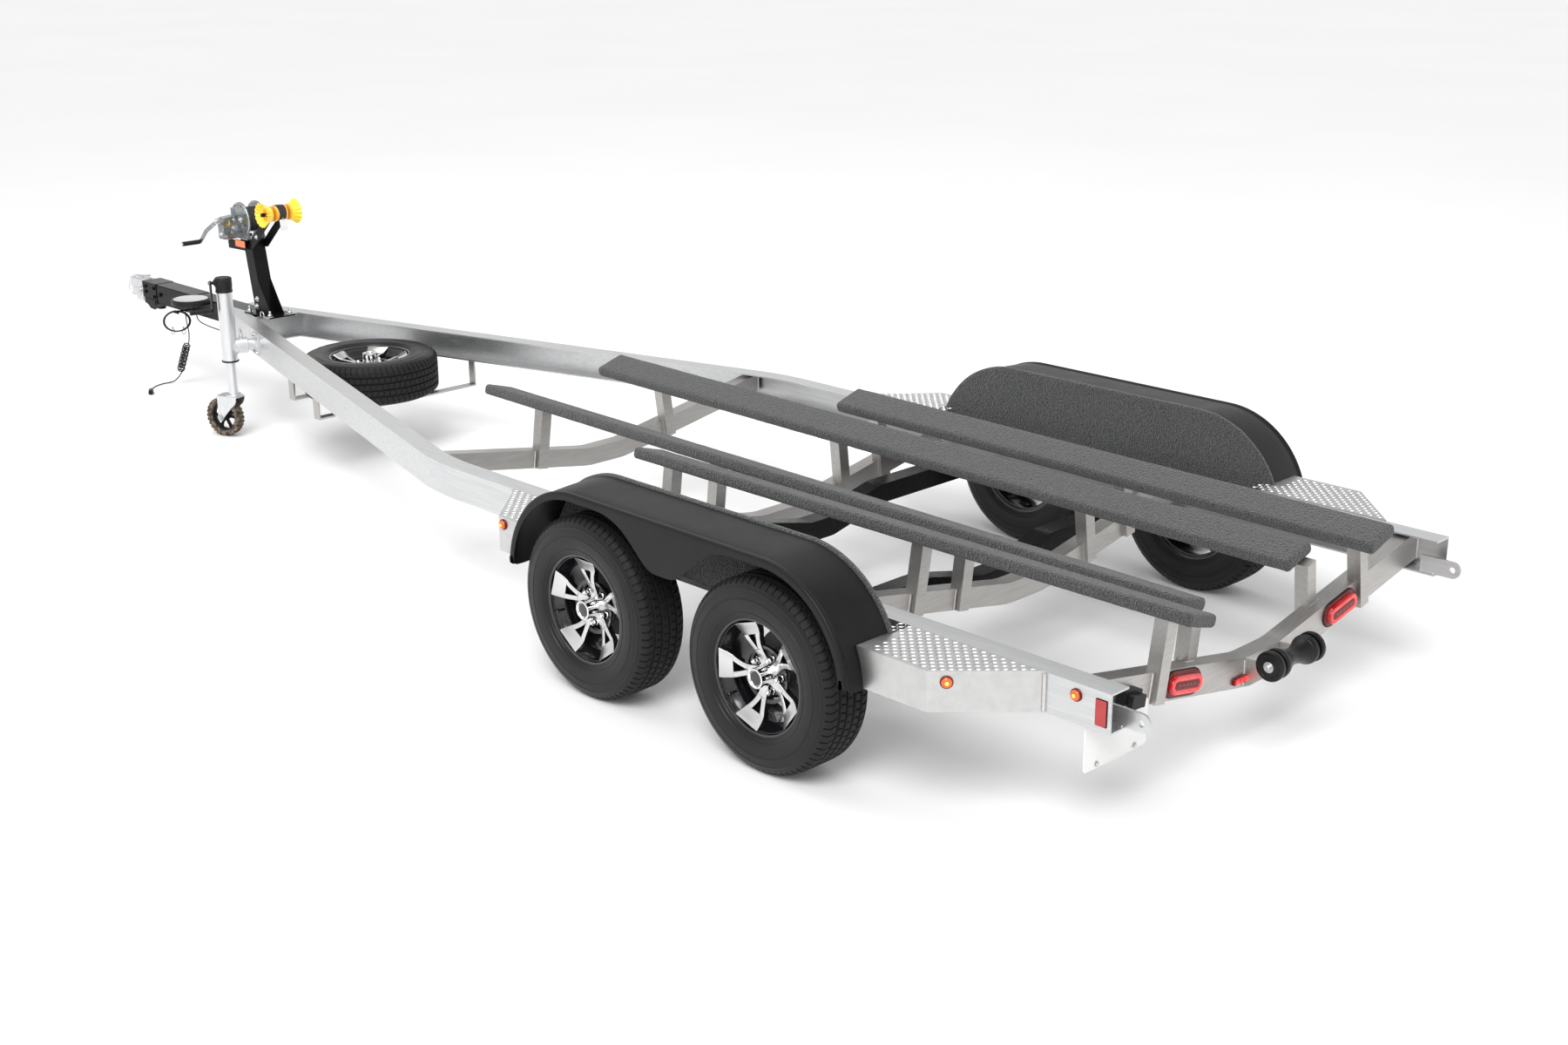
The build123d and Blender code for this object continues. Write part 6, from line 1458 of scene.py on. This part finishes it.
def cable_route():
    """The coiled cables: loops of different sizes that hang on the hook, side by side."""
    hung = Vector(CABLE_HUNG)
    points = []
    for step in range(CABLE_TURNS * CABLE_STEPS + 1):
        whole = step / CABLE_STEPS
        index = min(int(whole), CABLE_TURNS - 1)
        blend = whole - index
        (a, b), (c, d) = CABLE_SIZES[index], CABLE_SIZES[index + 1]
        wide, high = a + (c - a) * blend, b + (d - b) * blend
        turn = pi / 2 + 2 * pi * whole
        point = hung + CABLE_ACROSS * (wide * cos(turn)) + Vector((0, 0, high * (sin(turn) - 1)))
        points.append(point + CABLE_OUT * (-15.2 + 7.6 * whole))
    return points


cable_hooks = Form("zinc", "satin")
for number, (across, out) in enumerate(((-30, 8), (26, -6))):
    low = Vector(CABLE_HUNG) + CABLE_ACROSS * across + CABLE_OUT * out + Vector((0, 0, -104 + 8 * number))
    bow = [low + CABLE_ACROSS * (13 * cos(radians(a)) * 0.7) + Vector((0, 0, 13 * sin(radians(a)) - 14))
           for a in range(100, 411, 20)]
    cable_hooks.tube(bow, 2.8, 10, 0)
    cable_hooks.tube([low + Vector((0, 0, -2)), low + Vector((0, 0, 14))], [4.6, 4.2], 14, 0)
hooks = cable_hooks.make("cable_hooks", "frame", smooth=50)
cables = cord_curve("safety_cable_loops", cable_route(), CABLE_RADIUS, "rubber")
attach(cables, "frame")
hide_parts("safety_cables")
round(curve_length(cables), 3)
line_piece = cord_curve("brake_hose", BRAKE_LINE, 3.0, "rubber")
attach(line_piece, "frame")
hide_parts("brake_line")
round(curve_length(line_piece), 3)


# ---------------- light and floor
# Each row: name, place, size, power.
LIGHTS = [("key", (-6.0, 7.0, 6.5), 5.0, 260.0), ("top", (0.5, 0.0, 7.5), 8.0, 260.0)]
SUN_FROM, SUN_SPREAD, SUN_POWER = (-4.0, 6.0, 9.0), 30.0, 1.5
# Each row: height in the sky, brightness.
SKY = [(0.0, 1.0), (0.4, 1.0), (0.62, 0.55), (0.8, 0.45)]


def stage():
    """A pale floor and soft light from above and behind the camera."""
    world = bpy.data.worlds.new("world")
    bpy.context.scene.world = world
    world.use_nodes = True
    tree = world.node_tree
    background = tree.nodes["Background"]
    background.inputs["Strength"].default_value = 1.0
    coords, parts = tree.nodes.new("ShaderNodeTexCoord"), tree.nodes.new("ShaderNodeSeparateXYZ")
    ramp = tree.nodes.new("ShaderNodeValToRGB")
    tree.links.new(coords.outputs["Generated"], parts.inputs["Vector"])
    tree.links.new(parts.outputs["Z"], ramp.inputs["Fac"])
    tree.links.new(ramp.outputs["Color"], background.inputs["Color"])
    while len(ramp.color_ramp.elements) < len(SKY):
        ramp.color_ramp.elements.new(0.5)
    for element, (height, bright) in zip(ramp.color_ramp.elements, SKY):
        element.position, element.color = height, (bright, bright, bright, 1)
    mesh = bpy.data.meshes.new("floor")
    reach = 60.0
    mesh.from_pydata([(-reach, -reach, 0), (reach, -reach, 0), (reach, reach, 0), (-reach, reach, 0)], [],
                     [(0, 1, 2, 3)])
    paint = Paint("floor", (0.8, 0.8, 0.8), 0.8)
    paint.colour_by(paint.noise(0.4, 2.0), [(0.3, 0.92), (0.7, 0.94)])
    mesh.materials.append(paint.material)
    floor = bpy.data.objects.new("floor", mesh)
    bpy.context.collection.objects.link(floor)
    for name, place, size, power in LIGHTS:
        data = bpy.data.lights.new(name, "AREA")
        data.size, data.energy = size, power
        lamp = bpy.data.objects.new(name, data)
        lamp.location = place
        lamp.rotation_euler = (-Vector(place)).to_track_quat("-Z", "Y").to_euler()
        bpy.context.collection.objects.link(lamp)
    data = bpy.data.lights.new("sky", "SUN")
    data.angle, data.energy = radians(SUN_SPREAD), SUN_POWER
    lamp = bpy.data.objects.new("sky", data)
    lamp.rotation_euler = (-Vector(SUN_FROM)).to_track_quat("-Z", "Y").to_euler()
    bpy.context.collection.objects.link(lamp)
    bpy.context.scene.view_settings.view_transform = "Standard"


stage()
